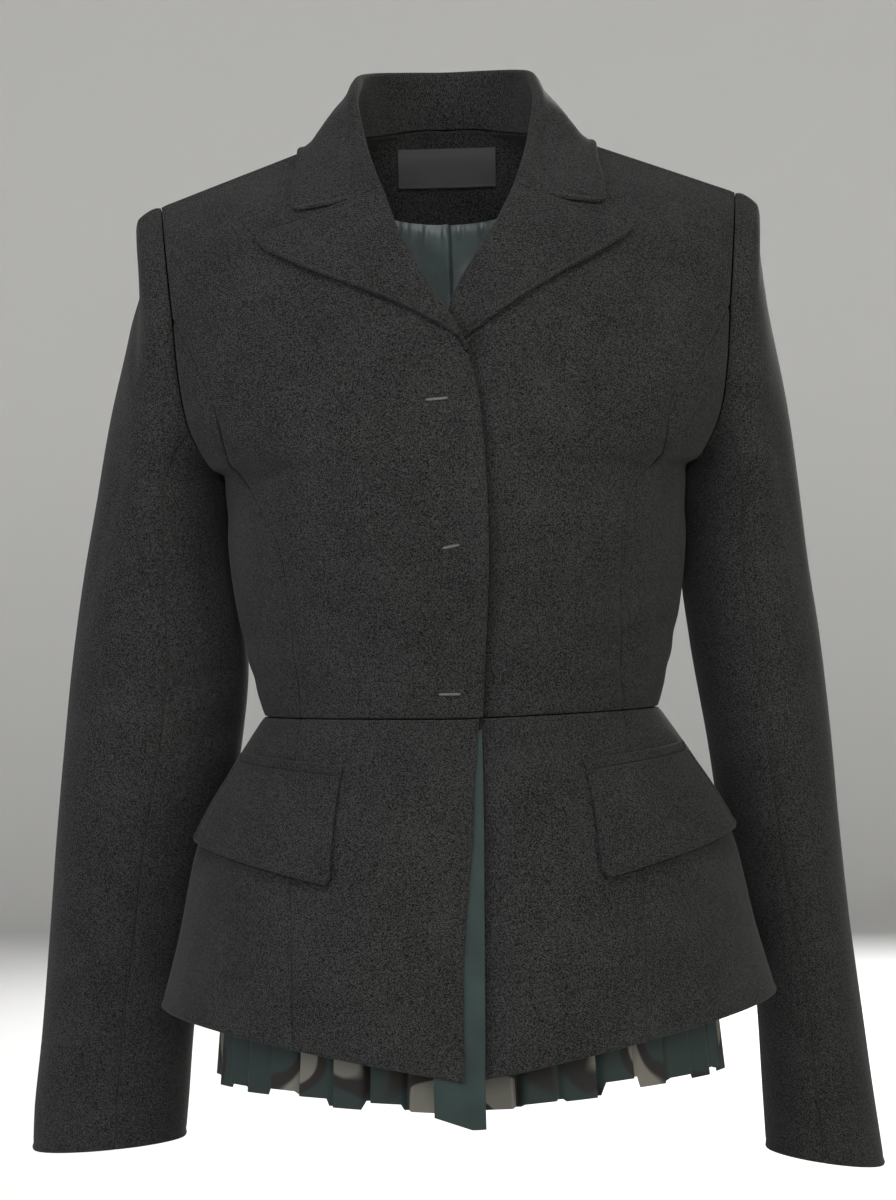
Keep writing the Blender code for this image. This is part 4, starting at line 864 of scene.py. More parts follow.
def add_shell(node, cloth, look, side=LEFT):
    """A closed shell that stands for a node: outer and inner faces that share the points on its rim."""
    corners = cloth.points[cloth.quads]
    facing = np.cross(corners[:, 2] - corners[:, 0], corners[:, 3] - corners[:, 1])
    agrees = np.sum(facing * cloth.normals[cloth.quads[:, 0]]) * side > 0
    quads = cloth.quads if agrees else cloth.quads[:, ::-1]
    outer = cloth.points + cloth.normals * (cloth.fullness + cloth.half)[:, None]
    inner = cloth.points + cloth.normals * (cloth.fullness - cloth.half)[:, None]
    rim = cloth.half == 0
    count = len(outer)
    behind = np.where(rim, np.arange(count), count - 1 + np.cumsum(~rim))
    vertices = np.concatenate([outer, inner[~rim]]) * np.array([side, 1, 1])
    faces = np.concatenate([quads, behind[quads][:, ::-1]])
    uv = np.concatenate([cloth.uv, cloth.uv[~rim]])
    piece = new_piece(f"cloth_{node}", vertices, faces.tolist(), uv, look)
    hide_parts(node)
    return piece


def add_cloth(node, cloth, look, side=LEFT):
    """A closed shell for a node's cloth, made by add_shell."""
    piece = add_shell(node, cloth, look, side)
    return piece


def millimetres(length):
    """A length property in the tables' unit."""
    return length / MM


def shoulder_direction():
    """The direction square to the shoulder seam, shared by the front and back panels that meet there."""
    seam = FRONT[-1]
    along = np.array([seam.edge_x, 0.0, seam.edge_z - seam.centre_z])
    return unit(np.cross(along, np.array([0.0, 1.0, 0.0])))


def roll_line(side):
    """The levels, distances from the centre line, insets, radii and lifts of one side's roll line."""
    places, right_x, left_x, insets, radii, lifts = np.array(ROLL_LINE).T
    return places, right_x if side == RIGHT else left_x, insets, radii, lifts


def front_inner_x(places, side):
    """The front panel's inner outline: front edge, then just outside the roll line, then the neckline."""
    roll_places, roll_x, insets, _, _ = roll_line(side)
    rolls = np.stack([roll_places, roll_x + insets], axis=1)
    outline = np.where(places < BREAK_PLACE, line_x(FRONT_EDGE, places), line_x(rolls, places))
    return np.where(places >= GORGE_PLACE, line_x(FRONT_NECKLINE, places), outline)


def body_panel(table, places, inner_x, outer_x, side, sizes, folds, borders, gape=None):
    """A front or back panel: its shell between two lines, with soft folds and a shared shoulder edge."""
    spacing = millimetres(sizes.spacing)
    columns = int(np.ceil(np.max(outer_x - inner_x) / spacing)) + 1
    points = edge_loops(tucked(panel_points(table, places, inner_x, outer_x, columns), side))
    normals = grid_normals(points, from_axis(points))
    normals[-1] = shoulder_direction()
    relief = sizes.creases * fold_relief(folds, points[..., 0], points[..., 2])
    if gape:
        relief = relief + fold_relief([gape], points[..., 0], points[..., 2])
    return grid_cloth(points, normals, millimetres(sizes.wool), borders, relief)


# Half a side panel: grids of its cloth's fields, and the row at the underarm
SideHalf = namedtuple("SideHalf", "points normals half fullness uv armpit_row")


def side_half(table, line, low, flip, sizes):
    """The front or back half of a side panel, from its princess seam to the side line, or flipped.

    The side line is joined below the underarm and open above it, so the distance from the open edge is the
    hypotenuse of the way across and the way up to the underarm.
    """
    spacing = millimetres(sizes.spacing)
    wool = millimetres(sizes.wool)
    places = np.concatenate([low[:-1], fine_places(table, HORN_STOPS, spacing)])
    side_x = reach_at(table, places)
    seam_x = line_x(line, places)
    first, last = (side_x, seam_x) if flip else (seam_x, side_x)
    columns = int(np.ceil(SIDE_PANEL_WIDTH / spacing)) + 1
    points = edge_loops(panel_points(table, places, first, last, columns))
    normals = grid_normals(points, from_axis(points))
    down, up, start, end = border_distances(points)
    seam_distance, side_distance = (end, start) if flip else (start, end)
    side_column = 0 if flip else -1
    armpit_row = int(np.argmin(np.abs(points[:, side_column, 2] - FRONT[ARMPIT_PLACE].edge_z)))
    side_line = down[:, side_column]
    below = np.maximum(side_line[armpit_row] - side_line, 0)[:, None]
    distances = (down, up, seam_distance, np.hypot(side_distance, below))
    half, fullness = edge_profile(distances, (SEAM,) * 4, wool)
    relief = sizes.creases * fold_relief(SIDE_FOLDS, points[..., 0], points[..., 2])
    uv = np.stack([start if flip else -end, down], axis=-1)
    return SideHalf(points - normals * wool / 2, normals, half, fullness + relief, uv, armpit_row)


def side_cloth(side, sizes):
    """A side panel: two shells joined down the side line, parting above the underarm into two horns."""
    low = fine_places(FRONT, range(ARMPIT_PLACE + 1), millimetres(sizes.spacing))
    ahead = side_half(FRONT, FRONT_PRINCESS[side], low, False, sizes)
    behind = side_half(BACK, BACK_PRINCESS, low, True, sizes)
    rows, columns = ahead.half.shape
    numbers = ahead.half.size + np.arange(behind.half.size).reshape(behind.half.shape)
    joined = ahead.armpit_row + 1
    numbers[:joined, 0] = np.arange(joined) * columns + columns - 1
    quads = np.concatenate([grid_quads(rows, columns), numbers.ravel()[grid_quads(*behind.half.shape)]])
    kept, quads = np.unique(quads, return_inverse=True)
    points, normals, half, fullness, uv = (
        np.concatenate([first.reshape(ahead.half.size, -1), last.reshape(behind.half.size, -1)])[kept]
        for first, last in zip(ahead[:5], behind[:5]))
    return Cloth(points, normals, half[:, 0], fullness[:, 0], uv, quads.reshape(-1, 4), np.ptp(uv[:, 0]),
                 uv[:, 1].max())


def folded_rows(seam, fold, falls, radii, leaning):
    """Cross-sections of turned-back cloth: up from the seam, round a half circle, and out over the fall.

    Each row is one station; the columns run from the seam to the outer edge. Leaning points from the
    under layer to the upper one.
    """
    upward = unit(unit(fold - seam) + unit(fold - falls[:, 0]))
    outward = unit(leaning - np.sum(leaning * upward, axis=1, keepdims=True) * upward)
    radii = np.asarray(radii, dtype=float)[:, None]
    centre = fold - radii * upward
    start = centre - radii * outward
    columns = [seam + step * (start - seam) for step in STAND_STEPS]
    for turn in np.radians(FOLD_TURNS):
        columns.append(centre - radii * np.cos(turn) * outward + radii * np.sin(turn) * upward)
    columns += [falls[:, number] for number in range(falls.shape[1])]
    return np.stack(columns, axis=1)


def body_samples():
    """Points and outward directions all over the upper body, to rest the collar on."""
    points, normals = [], []
    for table, places in ((FRONT, FRONT_SAMPLES), (BACK, BACK_SAMPLES)):
        grid = np.meshgrid(places, TURN_SAMPLES, indexing="ij")
        points.append(surface(table, *grid).reshape(-1, 3))
        normals.append(surface_normal(table, *grid).reshape(-1, 3))
    return np.vstack(points), np.vstack(normals)


def rested(points, samples, lift, settle):
    """Points pushed out to the lift where nearer to the body, and drawn in by a share where farther."""
    near, directions = samples
    flat = points.reshape(-1, 3)
    closest = np.argmin(np.sum((flat[:, None, :] - near[None]) ** 2, axis=-1), axis=1)
    move = lift - np.sum((flat - near[closest]) * directions[closest], axis=1)
    move = np.where(move > 0, move, move * settle.reshape(-1))
    return (flat + move[:, None] * directions[closest]).reshape(points.shape)


def seam_start(table, places, x, fold, sizes):
    """Where turned-back cloth starts: level with the inside of the panel, just past its edge."""
    turns = turn_at(table, places, x)
    edge = surface(table, places, turns)
    direction = surface_normal(table, places, turns)
    rising = unit(fold - edge)
    bend = np.sum(rising * direction, axis=1, keepdims=True)
    toward = unit(rising - bend * direction)
    clear = SEAM_INSET + LAYER_GAP + millimetres(sizes.collar) * np.abs(bend)
    return edge - millimetres(sizes.wool) * direction + clear * toward


def lapel_rows(side, sizes):
    """Cross-sections of a lapel from the break to the gorge seam, lying just clear of the front panel."""
    places, roll_x, insets, radii, lifts = roll_line(side)
    places[0] += LAPEL_START
    turns = turn_at(FRONT, places, roll_x)
    fold = lifted(FRONT, places, turns, FOLD_LIFT)
    seam = seam_start(FRONT, places, roll_x + insets, fold, sizes)
    corners = np.array(LAPEL_EDGE[side])
    share = np.array(LAPEL_STEPS)
    fall_x = roll_x[:, None] + (corners[:, 0] - roll_x)[:, None] * share
    fall_z = fold[:, 2][:, None] + (corners[:, 1] - fold[:, 2])[:, None] * share
    fall_places = place_at(FRONT, fall_x, fall_z)
    fall_turns = turn_at(FRONT, fall_places, fall_x)
    stand = LAPEL_STAND * np.sin(np.pi * np.linspace(0, 1, len(places)))[:, None] * share ** 2
    falls = lifted(FRONT, fall_places, fall_turns, lifts[:, None] + stand)
    return folded_rows(seam, fold, falls, radii, surface_normal(FRONT, places, turns))


def turned_normals(points):
    """Normals of turned-back cloth, whose last column faces away from the body."""
    normals = grid_normals(points, np.ones(3))
    middle = len(points) // 2
    return normals * np.sign(normals[middle, -1, 1] * points[middle, -1, 1])


def collar_half(sizes):
    """Cross-sections of the collar from the gorge seam to the centre back."""
    key = smooth_rows(COLLAR, COLLAR_STATIONS)
    fold, middle, edge = key[:, 0:3], key[:, 3:6], key[:, 6:9]
    trim = np.interp(COLLAR_STATIONS, COLLAR_CORNER_STATIONS, COLLAR_CORNER_TRIMS)
    edge = edge + (middle - edge) * trim[:, None]
    front_places, front_x = np.array(FRONT_NECKLINE).T
    back_places, back_x = np.array(BACK_NECKLINE)[-2::-1].T
    split = len(front_places)
    seam = np.vstack([
        seam_start(FRONT, front_places, front_x, fold[:split], sizes),
        seam_start(BACK, back_places, back_x, fold[split:], sizes),
    ])
    falls = [fold + (middle - fold) * share for share in FALL_TO_MIDDLE]
    falls += [middle + (edge - middle) * share for share in FALL_TO_EDGE]
    falls = np.stack(falls, axis=1)
    flatness = np.interp(COLLAR_STATIONS, (COLLAR_FLAT_UNTIL, COLLAR_FREE_FROM), (1.0, 0.0))[:, None]
    settle = np.maximum(flatness, np.array(COLLAR_SETTLE))
    lift = np.interp(COLLAR_STATIONS, COLLAR_REST_STATIONS, COLLAR_RESTS)
    falls = rested(falls, body_samples(), np.repeat(lift, falls.shape[1]), settle)
    along = np.gradient(fold, axis=0)
    leaning = unit(np.cross(unit(2 * fold - seam - falls[:, 1]), along))
    leaning = leaning * np.sign(np.sum(leaning * (falls[:, 0] - seam), axis=1, keepdims=True))
    return folded_rows(seam, fold, falls, np.full(len(fold), COLLAR_FOLD_RADIUS), leaning)


def collar_grid(sizes):
    """The whole collar from gorge to gorge: the half's cross-sections, mirrored and made smooth."""
    half = collar_half(sizes)
    half[-1, :, 0] = 0.0
    half[0, :GORGE_COLUMNS] = lapel_rows(RIGHT, sizes)[-1, :GORGE_COLUMNS]
    control = np.concatenate([half, half[-2::-1] * FLIP])
    spacing = millimetres(sizes.spacing) * TURNED_FINENESS
    return edge_loops(spline(spline(control, spacing, axis=1), spacing, axis=0))


def stand_seam(points):
    """Distances along the collar's rows, and for each row the one that lies a set way down the stand.

    The fold is where a row's height is greatest in its first part.
    """
    _, _, across, _ = border_distances(points)
    top = np.argmax(points[..., 2] * (across < across[:, -1:] * STAND_SHARE), axis=1)
    fold = np.take_along_axis(across, top[:, None], axis=1)
    return across, fold - STAND_SEAM_DROP


def armhole(columns):
    """The armhole round from the shoulder down the front, under the arm and up the back, for 0 to 1.

    Gives the points and the running length, with the lengths at the front seam, underarm and back seam.
    """
    front = np.linspace(len(FRONT) - 1, ARMPIT_PLACE, columns)
    back = np.linspace(ARMPIT_PLACE, len(BACK) - 1, columns)[1:]
    points = np.vstack([surface(FRONT, front, 90.0), surface(BACK, back, 90.0)])
    run = run_lengths(points)
    front_seam = np.interp(-SLEEVE_FRONT_SEAM_PLACE, -front, run[:columns])
    back_seam = np.interp(SLEEVE_BACK_SEAM_PLACE, back, run[columns:])
    return points, run, (front_seam, run[columns - 1], back_seam)


def sleeve_rings(rows, turns, places):
    """Rings of a sleeve below the cap: ovals, x as cosine, y as sine, tipped down to the outside."""
    level, inner, outer, centre_y, half_depth, tip = np.moveaxis(smooth_rows(rows, places)[:, None], -1, 0)
    cosine, sine = np.cos(turns), np.sin(turns)
    x = (inner + outer) / 2 + (outer - inner) / 2 * cosine
    y = centre_y - half_depth * sine
    z = level - tip * cosine
    return np.stack([x, y, z], axis=-1)


def sleeve_columns(part, spacing):
    """The columns of a sleeve's upper or under piece, from seam to seam round the armhole.

    Gives their points on the armhole, their turns round the sleeve, which pass smoothly through its seams,
    and their turns round the armhole, which are even from the shoulder to the underarm and on.
    """
    loop, run, (front_seam, under, back_seam) = armhole(ARMHOLE_SAMPLES)
    total = run[-1]
    start, end = (back_seam, total + front_seam) if part == "upper" else (front_seam, back_seam)
    columns = int(np.ceil((end - start) / spacing * SLEEVE_COLUMN_SHARE)) + 1
    length = np.linspace(start, end, columns)
    knots = np.array([
        (back_seam - total, SLEEVE_BACK_SEAM_TURN - 360), (0, 0), (front_seam, SLEEVE_FRONT_SEAM_TURN),
        (under, 180), (back_seam, SLEEVE_BACK_SEAM_TURN), (total, 360),
        (total + front_seam, SLEEVE_FRONT_SEAM_TURN + 360),
    ])
    turns = np.radians(line_x(knots, length))
    climb = np.radians(np.interp(length, [0, under, total, total + under], [0, 180, 360, 540]))
    rim = np.stack([np.interp(length % total, run, loop[:, axis]) for axis in range(3)], axis=-1)
    return rim, turns, climb


def sleeve_cap(rim, climb, rings):
    """A sleeve's cap: cubic curves that spring out of the armhole and run into the sleeve's first rings."""
    pull = CAP_PULL_UNDER + (CAP_PULL_TOP - CAP_PULL_UNDER) * (1 + np.cos(climb)) / 2
    spread, rise = -CAP_SPREAD * np.sin(climb), CAP_RISE * np.cos(climb)
    spring = unit(np.stack([np.ones(len(climb)), spread, rise], axis=-1))
    rim = rim + ARMHOLE_GAP * spring
    fall = np.maximum(rim[:, 2] - rings[0][:, 2], CAP_LEAST_FALL)
    down = unit(rings[1] - rings[0]) * fall[:, None]
    t = (np.linspace(0, 1, CAP_ROWS)[:-1] ** CAP_EASE)[:, None, None]
    return cubic(t, rim, rings[0], spring * pull[:, None], down)


def sleeve_relief(side, points, turns, headness, creases):
    """A sleeve's folds, fading out at the armhole, and the padded roll and hollow of its head."""
    all_folds = SLEEVE_FOLDS[side] + UNDERARM_RIDGES
    folds = creases * sum(fold_relief(all_folds, turns + lap, points[..., 2]) for lap in (-360, 0, 360))
    from_seam = border_distances(points)[0]
    shapes = SLEEVE_HEADS[side]
    head = sum(
        shape.height * np.exp(-((from_seam - shape.distance) / shape.width) ** 2) for shape in shapes)
    head = head * headness * np.minimum(from_seam / shapes[0].distance, 1.0)
    return folds * np.minimum(from_seam / SLEEVE_FOLD_FADE, 1.0) + head


def sleeve_part(side, part, sizes):
    """The upper or under piece of a sleeve: its cap, then oval rings down to the cuff."""
    spacing = millimetres(sizes.spacing)
    rim, turns, climb = sleeve_columns(part, spacing)
    rows = SLEEVES[side]
    height = rows[0].z - rows[-1].z
    lower = sleeve_rings(rows, turns, np.linspace(0, len(rows) - 1, int(height / spacing) + 1))
    first = sleeve_rings(rows, turns, np.array([0.0, 1.0]))
    points = np.concatenate([sleeve_cap(rim, climb, first), lower])
    headness = np.maximum(np.cos(climb), 0) ** HEAD_POWER
    carried = np.stack([np.degrees(turns), headness], axis=-1)
    carried = np.broadcast_to(carried, (*points.shape[:2], 2))
    values = edge_loops(np.concatenate([points, carried], axis=-1))
    points = values[..., :3]
    centre = np.array([first[0][:, 0].mean(), 0, 0])
    middle_y = np.array([0, 1, 0]) * points.mean(axis=1, keepdims=True)
    normals = grid_normals(points, points - centre - middle_y)
    relief = sleeve_relief(side, points, values[..., 3], values[..., 4], sizes.creases)
    return grid_cloth(points, normals, millimetres(sizes.wool), (ARMHOLE, HEMMED, SEAM, SEAM), relief)


def flap_grid():
    """A pocket flap's points, moved out from the peplum more towards its lower outer corner.

    Its lower edge rises at both ends along a quarter ellipse, which rounds the corners.
    """
    across = np.linspace(0, 1, FLAP_COLUMNS)
    down = np.linspace(0, 1, FLAP_ROWS)[:, None]
    nearness = np.clip(1 - np.minimum(across, 1 - across) / FLAP_CORNER_WIDTH, 0, 1)
    reach = 1 - FLAP_CORNER_HEIGHT * (1 - np.sqrt(1 - nearness ** 2))
    down = down * reach
    top = FLAP_TOP_INNER + (FLAP_TOP_OUTER - FLAP_TOP_INNER) * across
    low = FLAP_LOW_INNER + (FLAP_LOW_OUTER - FLAP_LOW_INNER) * across
    places = top + (low - top) * down
    inner_turn = FLAP_TURN_INNER_TOP + (FLAP_TURN_INNER_LOW - FLAP_TURN_INNER_TOP) * down
    turns = inner_turn + (FLAP_TURN_OUTER - inner_turn) * across
    stand = FLAP_LIFT_INNER + (FLAP_LIFT_OUTER - FLAP_LIFT_INNER) * across ** FLAP_CORNER_POWER
    lifts = FLAP_LIFT_TOP + (stand - FLAP_LIFT_TOP) * down ** FLAP_HANG_POWER
    return lifted(PEPLUM_FRONT, places, turns, lifts)


def welt_grid():
    """A pocket welt's points: a narrow band along the top of the flap."""
    across = np.linspace(0, 1, FLAP_COLUMNS)
    top = FLAP_TOP_INNER + (FLAP_TOP_OUTER - FLAP_TOP_INNER) * across
    places = top - WELT_HEIGHT * np.linspace(1, 0, WELT_ROWS)[:, None]
    turns = FLAP_TURN_INNER_TOP + (FLAP_TURN_OUTER - FLAP_TURN_INNER_TOP) * across
    lifts = np.full(places.shape, FLAP_LIFT_TOP)
    return lifted(PEPLUM_FRONT, places, np.broadcast_to(turns, places.shape), lifts)


def underskirt_cloth(side, sizes):
    """One half of the pleated layer: its shell drawn in by each pleat's profile, deeper towards the hem.

    The cloth coordinates jump where each pleat turns under, so that the print changes there.
    """
    pitch = 180.0 / PLEATS_PER_HALF
    share = np.tile(PLEAT_SHARES, PLEATS_PER_HALF)
    pleat = np.repeat(np.arange(PLEATS_PER_HALF), len(PLEAT_SHARES))
    creases = np.array(PLEAT)
    shifts = (-PLEAT_SOFTNESS, 0, PLEAT_SOFTNESS)
    depth = sum(np.interp((share + shift) % 1, *creases.T) for shift in shifts) / len(shifts)
    swell = np.roll(PLEAT_SWELLS, SWELL_SHIFT * side)[pleat]
    drop = np.roll(PLEAT_DROPS, DROP_SHIFT * side)[pleat] * millimetres(sizes.hem_drop)
    turns = np.append((pleat + share) * pitch, 180.0)
    depth = np.append(depth * swell, depth[0])
    drop = np.append(drop, 0.0)
    places = fine_places(UNDERSKIRT_FRONT, UNDERSKIRT_STOPS, 2 * millimetres(sizes.spacing))
    start = UNDERSKIRT_STARTS[side]
    kept = np.where(turns < 90, start + turns * (90 - start) / 90, 180 - turns)
    grid = np.meshgrid(places, kept, indexing="ij")
    ahead = (turns < 90)[None, :, None]
    points = np.where(ahead, surface(UNDERSKIRT_FRONT, *grid), surface(UNDERSKIRT_BACK, *grid))
    inward = -unit(points * np.array([1, 1, 0]) + np.array([TINY, 0, 0]))
    amount = np.interp(places, np.arange(len(PLEAT_DEPTHS)), PLEAT_DEPTHS)
    points = points + (amount[:, None] * depth)[..., None] * inward
    fade = (places / places[-1]) ** DROP_FADE
    points[..., 2] += fade[:, None] * drop
    points = tucked(points, side)
    points[:, -1, 0] = 0.0
    jumps = np.append(pleat + (share >= PLEAT_TUCK), PLEATS_PER_HALF) * PRINT_JUMP
    jumps = np.broadcast_to(jumps[:, None], (*points.shape[:2], 1))
    values = edge_loops(np.concatenate([points, jumps], axis=-1))
    points = values[..., :3]
    normals = grid_normals(points, points * np.array([1, 1, 0]))
    borders = (FLAT_SEAM, FINE_EDGE, FINE_EDGE, FLAT_SEAM)
    cloth = grid_cloth(points, normals, millimetres(sizes.chiffon), borders)
    cloth.uv[:, 0] += values[..., 3].ravel()
    return cloth


def strip_cloth(sizes):
    """The plain strip in the front slit: just behind the right peplum's edge, ending in a slanted tail."""
    places = fine_places(PEPLUM_FRONT, STRIP_STOPS, millimetres(sizes.spacing))
    edge_x, inner_x = line_x(STRIP_EDGE, places), line_x(STRIP_INNER, places)
    grid = panel_grid(PEPLUM_FRONT, places, edge_x, inner_x, STRIP_COLUMNS)
    lift = -(millimetres(sizes.wool) + LAYER_GAP)
    points = lifted(PEPLUM_FRONT, *grid, np.full(grid[0].shape, lift))
    drop = np.linspace(STRIP_POINT_DROP, STRIP_INNER_DROP, STRIP_COLUMNS)[:, None] * np.array([0, 0, 1])
    shares = np.linspace(0, 1, STRIP_TAIL_ROWS)[1:, None, None]
    points = edge_loops(np.concatenate([points, points[-1] - shares * drop]))
    normals = grid_normals(points, np.array([0.0, -1.0, 0.0]))
    return grid_cloth(points, normals, millimetres(sizes.chiffon), (FLAT_SEAM,) + (FINE_EDGE,) * 3)


def inside_back(half_width, low, high, rows, columns):
    """Levels and turns of a piece across the inside of the back, symmetric about the centre."""
    down = np.linspace(0, 1, rows)[:, None]
    x = np.broadcast_to(half_width, (rows,))[:, None] * np.linspace(-1, 1, columns)
    low, high = low(np.abs(x[0])), high(np.abs(x[-1]))
    places = low + (high - low) * down
    return places, turn_at(BACK, places, x)


def facing_low(x):
    """The level of the neck facing's lower edge: a parabola across the back."""
    return FACING_LOW_CENTRE + (FACING_LOW_SIDE - FACING_LOW_CENTRE) * (x / FACING_HALF_WIDTH) ** 2


def neck_high(x):
    """The level of the back neckline, a little below its seam."""
    neck = np.array(BACK_NECKLINE)
    return np.interp(x, neck[:, 1], neck[:, 0]) - FACING_NECK_TRIM


def inside_cloth(grid, level, thickness, borders, pleat=0.0, relief=None):
    """A sheet inside the back at a depth below its shell, with an optional pleat and soft gathers."""
    points = edge_loops(lifted(BACK, *grid, np.full(grid[0].shape, level) - pleat))
    normals = grid_normals(points, np.array([0.0, 1.0, 0.0]))
    bumps = relief(points) if relief else 0.0
    return grid_cloth(points, normals, thickness, borders, bumps)


def lining_relief(points):
    """Gathers that die away downwards and soft folds, below a top edge pressed back behind the facing."""
    x, z = points[..., 0], points[..., 2]
    below = border_distances(points)[1]
    waves = sum(g.share * np.sin(2 * np.pi * x / g.pitch + g.shift) for g in GATHERS)
    gathers = GATHER_DEPTH * waves * np.exp(-below / GATHER_REACH)
    free = 1 - np.exp(-(below / LINING_TUCK_REACH) ** GATHER_EDGE_POWER)
    return free * (gathers + fold_relief(LINING_FOLDS, x, z)) + (1 - free) * LINING_TUCK_DEPTH


def facing_cloth(level, thickness):
    """The neck facing, which lies nearer to the back panels towards its top edge, by a parabola."""
    grid = inside_back(FACING_HALF_WIDTH, facing_low, neck_high, FACING_ROWS, FACING_COLUMNS)
    up = np.linspace(0, 1, FACING_ROWS)[:, None]
    rise = FACING_RISE * np.clip((up - FACING_RISE_FROM) / (1 - FACING_RISE_FROM), 0, 1) ** 2
    return inside_cloth(grid, level, thickness, (FLAT_SEAM,) * 4, -rise)


def level_of(z):
    """A function that gives the level of a height inside the back, at distances from the centre."""
    return lambda x: place_at(BACK, x, np.full(x.shape, z))


def label_cloth(level, thickness):
    """The blank label, between two heights in front of the facing."""
    grid = inside_back(LABEL_HALF_WIDTH, level_of(LABEL_LOW_Z), level_of(LABEL_HIGH_Z), LABEL_ROWS,
                       LABEL_COLUMNS)
    return inside_cloth(grid, level - LABEL_CLEARANCE - LAYER_GAP, thickness, (FINE_EDGE,) * 4)


def lining_cloth(level, thickness):
    """The back lining, with a pleat at the centre: exponential on one side, straight on the other."""
    widths = np.linspace(LINING_LOW_HALF_WIDTH, FACING_HALF_WIDTH, LINING_ROWS)
    grid = inside_back(widths, lambda x: LINING_LOW_PLACE + 0 * x, lambda x: facing_low(x) + LINING_TUCK,
                       LINING_ROWS, LINING_COLUMNS)
    x = surface(BACK, *grid)[..., 0]
    fade = 1 - np.linspace(0, 1, LINING_ROWS)[:, None] ** LINING_PLEAT_FADE
    profile = np.where(x < 0, np.exp(x / LINING_PLEAT_REACH), np.clip(1 - x / LINING_PLEAT_EDGE, 0, 1))
    pleat = fade * LINING_PLEAT_DEPTH * profile
    return inside_cloth(grid, level, thickness, (FLAT_SEAM,) * 4, pleat, lining_relief)


def add_thread(name, centres, outward, radii, look):
    """A rounded thread: rings round a path's points, wider across than up, closed at both ends.

    A ring's point is the centre plus radius times (cosine across plus flatness times sine outward).
    """
    along = unit(np.gradient(centres, axis=0))
    across = unit(np.cross(along, outward))
    angles = np.arange(THREAD_SIDES) * 2 * np.pi / THREAD_SIDES
    cosine, sine = np.cos(angles)[:, None], np.sin(angles)[:, None]
    ring = cosine * across[:, None] + BAR_FLATNESS * sine * outward[:, None]
    points = centres[:, None] + radii[:, None, None] * ring
    numbers = np.arange(len(centres) * THREAD_SIDES).reshape(-1, THREAD_SIDES)
    following = np.roll(numbers, -1, axis=1)
    quads = np.stack([numbers[:-1], following[:-1], following[1:], numbers[1:]], axis=-1)
    faces = quads.reshape(-1, 4).tolist() + [numbers[0, ::-1].tolist(), numbers[-1].tolist()]
    uv = np.stack(np.broadcast_arrays(run_lengths(centres)[:, None], angles * radii.max()), axis=-1)
    return new_piece(name, points.reshape(-1, 3), faces, uv.reshape(-1, 2), look)


def add_node(tree, kind, values, **settings):
    """A shader node with its settings, its input values and its links from other nodes' outputs."""
    made = tree.nodes.new(kind)
    for name, value in settings.items():
        setattr(made, name, value)
    for name, value in values.items():
        if isinstance(value, bpy.types.NodeSocket):
            tree.links.new(value, made.inputs[name])
        else:
            made.inputs[name].default_value = value
    return made


def set_colour(tree, shader, tone, stops):
    """A shader's colour: a ramp over a tone, with one stop for each place and colour, in rising order."""
    made = add_node(tree, "ShaderNodeValToRGB", {"Fac": tone})
    elements = made.color_ramp.elements
    elements[0].position, elements[0].color = stops[0][0], (*stops[0][1], 1.0)
    elements[1].position, elements[1].color = stops[-1][0], (*stops[-1][1], 1.0)
    for place, colour in stops[1:-1]:
        elements.new(place).color = (*colour, 1.0)
    tree.links.new(made.outputs["Color"], shader.inputs["Base Color"])


def shade(colour, factor):
    """A colour made darker or lighter by a factor."""
    return tuple(factor * value for value in colour)


def cloth_coordinates(tree, turn=0.0):
    """The cloth's own coordinates in millimetres, turned by an angle in degrees."""
    source = add_node(tree, "ShaderNodeUVMap", {}, uv_map=UV_NAME)
    mapping = add_node(tree, "ShaderNodeMapping", {
        "Vector": source.outputs["UV"], "Scale": (1 / MM,) * 3, "Rotation": (0.0, 0.0, np.radians(turn))})
    return mapping.outputs["Vector"]


def solid_coordinates(tree):
    """The garment's own coordinates in millimetres, for patterns with no direction."""
    source = add_node(tree, "ShaderNodeTexCoord", {})
    mapping = add_node(tree, "ShaderNodeMapping", {
        "Vector": source.outputs["Object"], "Scale": (1 / MM,) * 3})
    return mapping.outputs["Vector"]


def noise(tree, vector, scale, detail, roughness):
    """Smooth random values at a number of patches to the millimetre."""
    made = add_node(tree, "ShaderNodeTexNoise", {
        "Vector": vector, "Scale": scale, "Detail": detail, "Roughness": roughness})
    return made.outputs["Fac"]


def weave(tree, vector, pitch, distortion):
    """Soft parallel ribs at a pitch in millimetres."""
    made = add_node(tree, "ShaderNodeTexWave", {
        "Vector": vector, "Scale": WAVE_SCALE / pitch, "Distortion": distortion, "Detail": WEAVE_DETAIL,
        "Detail Scale": WEAVE_DETAIL_SCALE})
    return made.outputs["Fac"]


def blend(tree, first, second, share):
    """One value plus a share of another."""
    made = add_node(tree, "ShaderNodeMath", {0: second, 1: share, 2: first}, operation="MULTIPLY_ADD")
    return made.outputs["Value"]


def new_finish(name, roughness, sheen, sheen_roughness, specular):
    """A material with an opaque cloth shader whose plain values are set on its own sockets."""
    material = bpy.data.materials.new(name)
    material.use_nodes = True
    tree = material.node_tree
    shader = tree.nodes["Principled BSDF"]
    shader.inputs["Roughness"].default_value = roughness
    shader.inputs["Sheen Weight"].default_value = sheen
    shader.inputs["Sheen Roughness"].default_value = sheen_roughness
    shader.inputs["Specular IOR Level"].default_value = specular
    return material, tree, shader


def add_bump(tree, shader, height, distance, strength):
    """Fine relief on a shader, from a height in shares of a distance in millimetres."""
    bump = add_node(tree, "ShaderNodeBump", {
        "Height": height, "Distance": distance * MM, "Strength": strength})
    tree.links.new(bump.outputs["Normal"], shader.inputs["Normal"])


def crepe(tree, vector):
    """The fine crinkle of chiffon."""
    return noise(tree, vector, scale=2.6, detail=3.0, roughness=0.6)


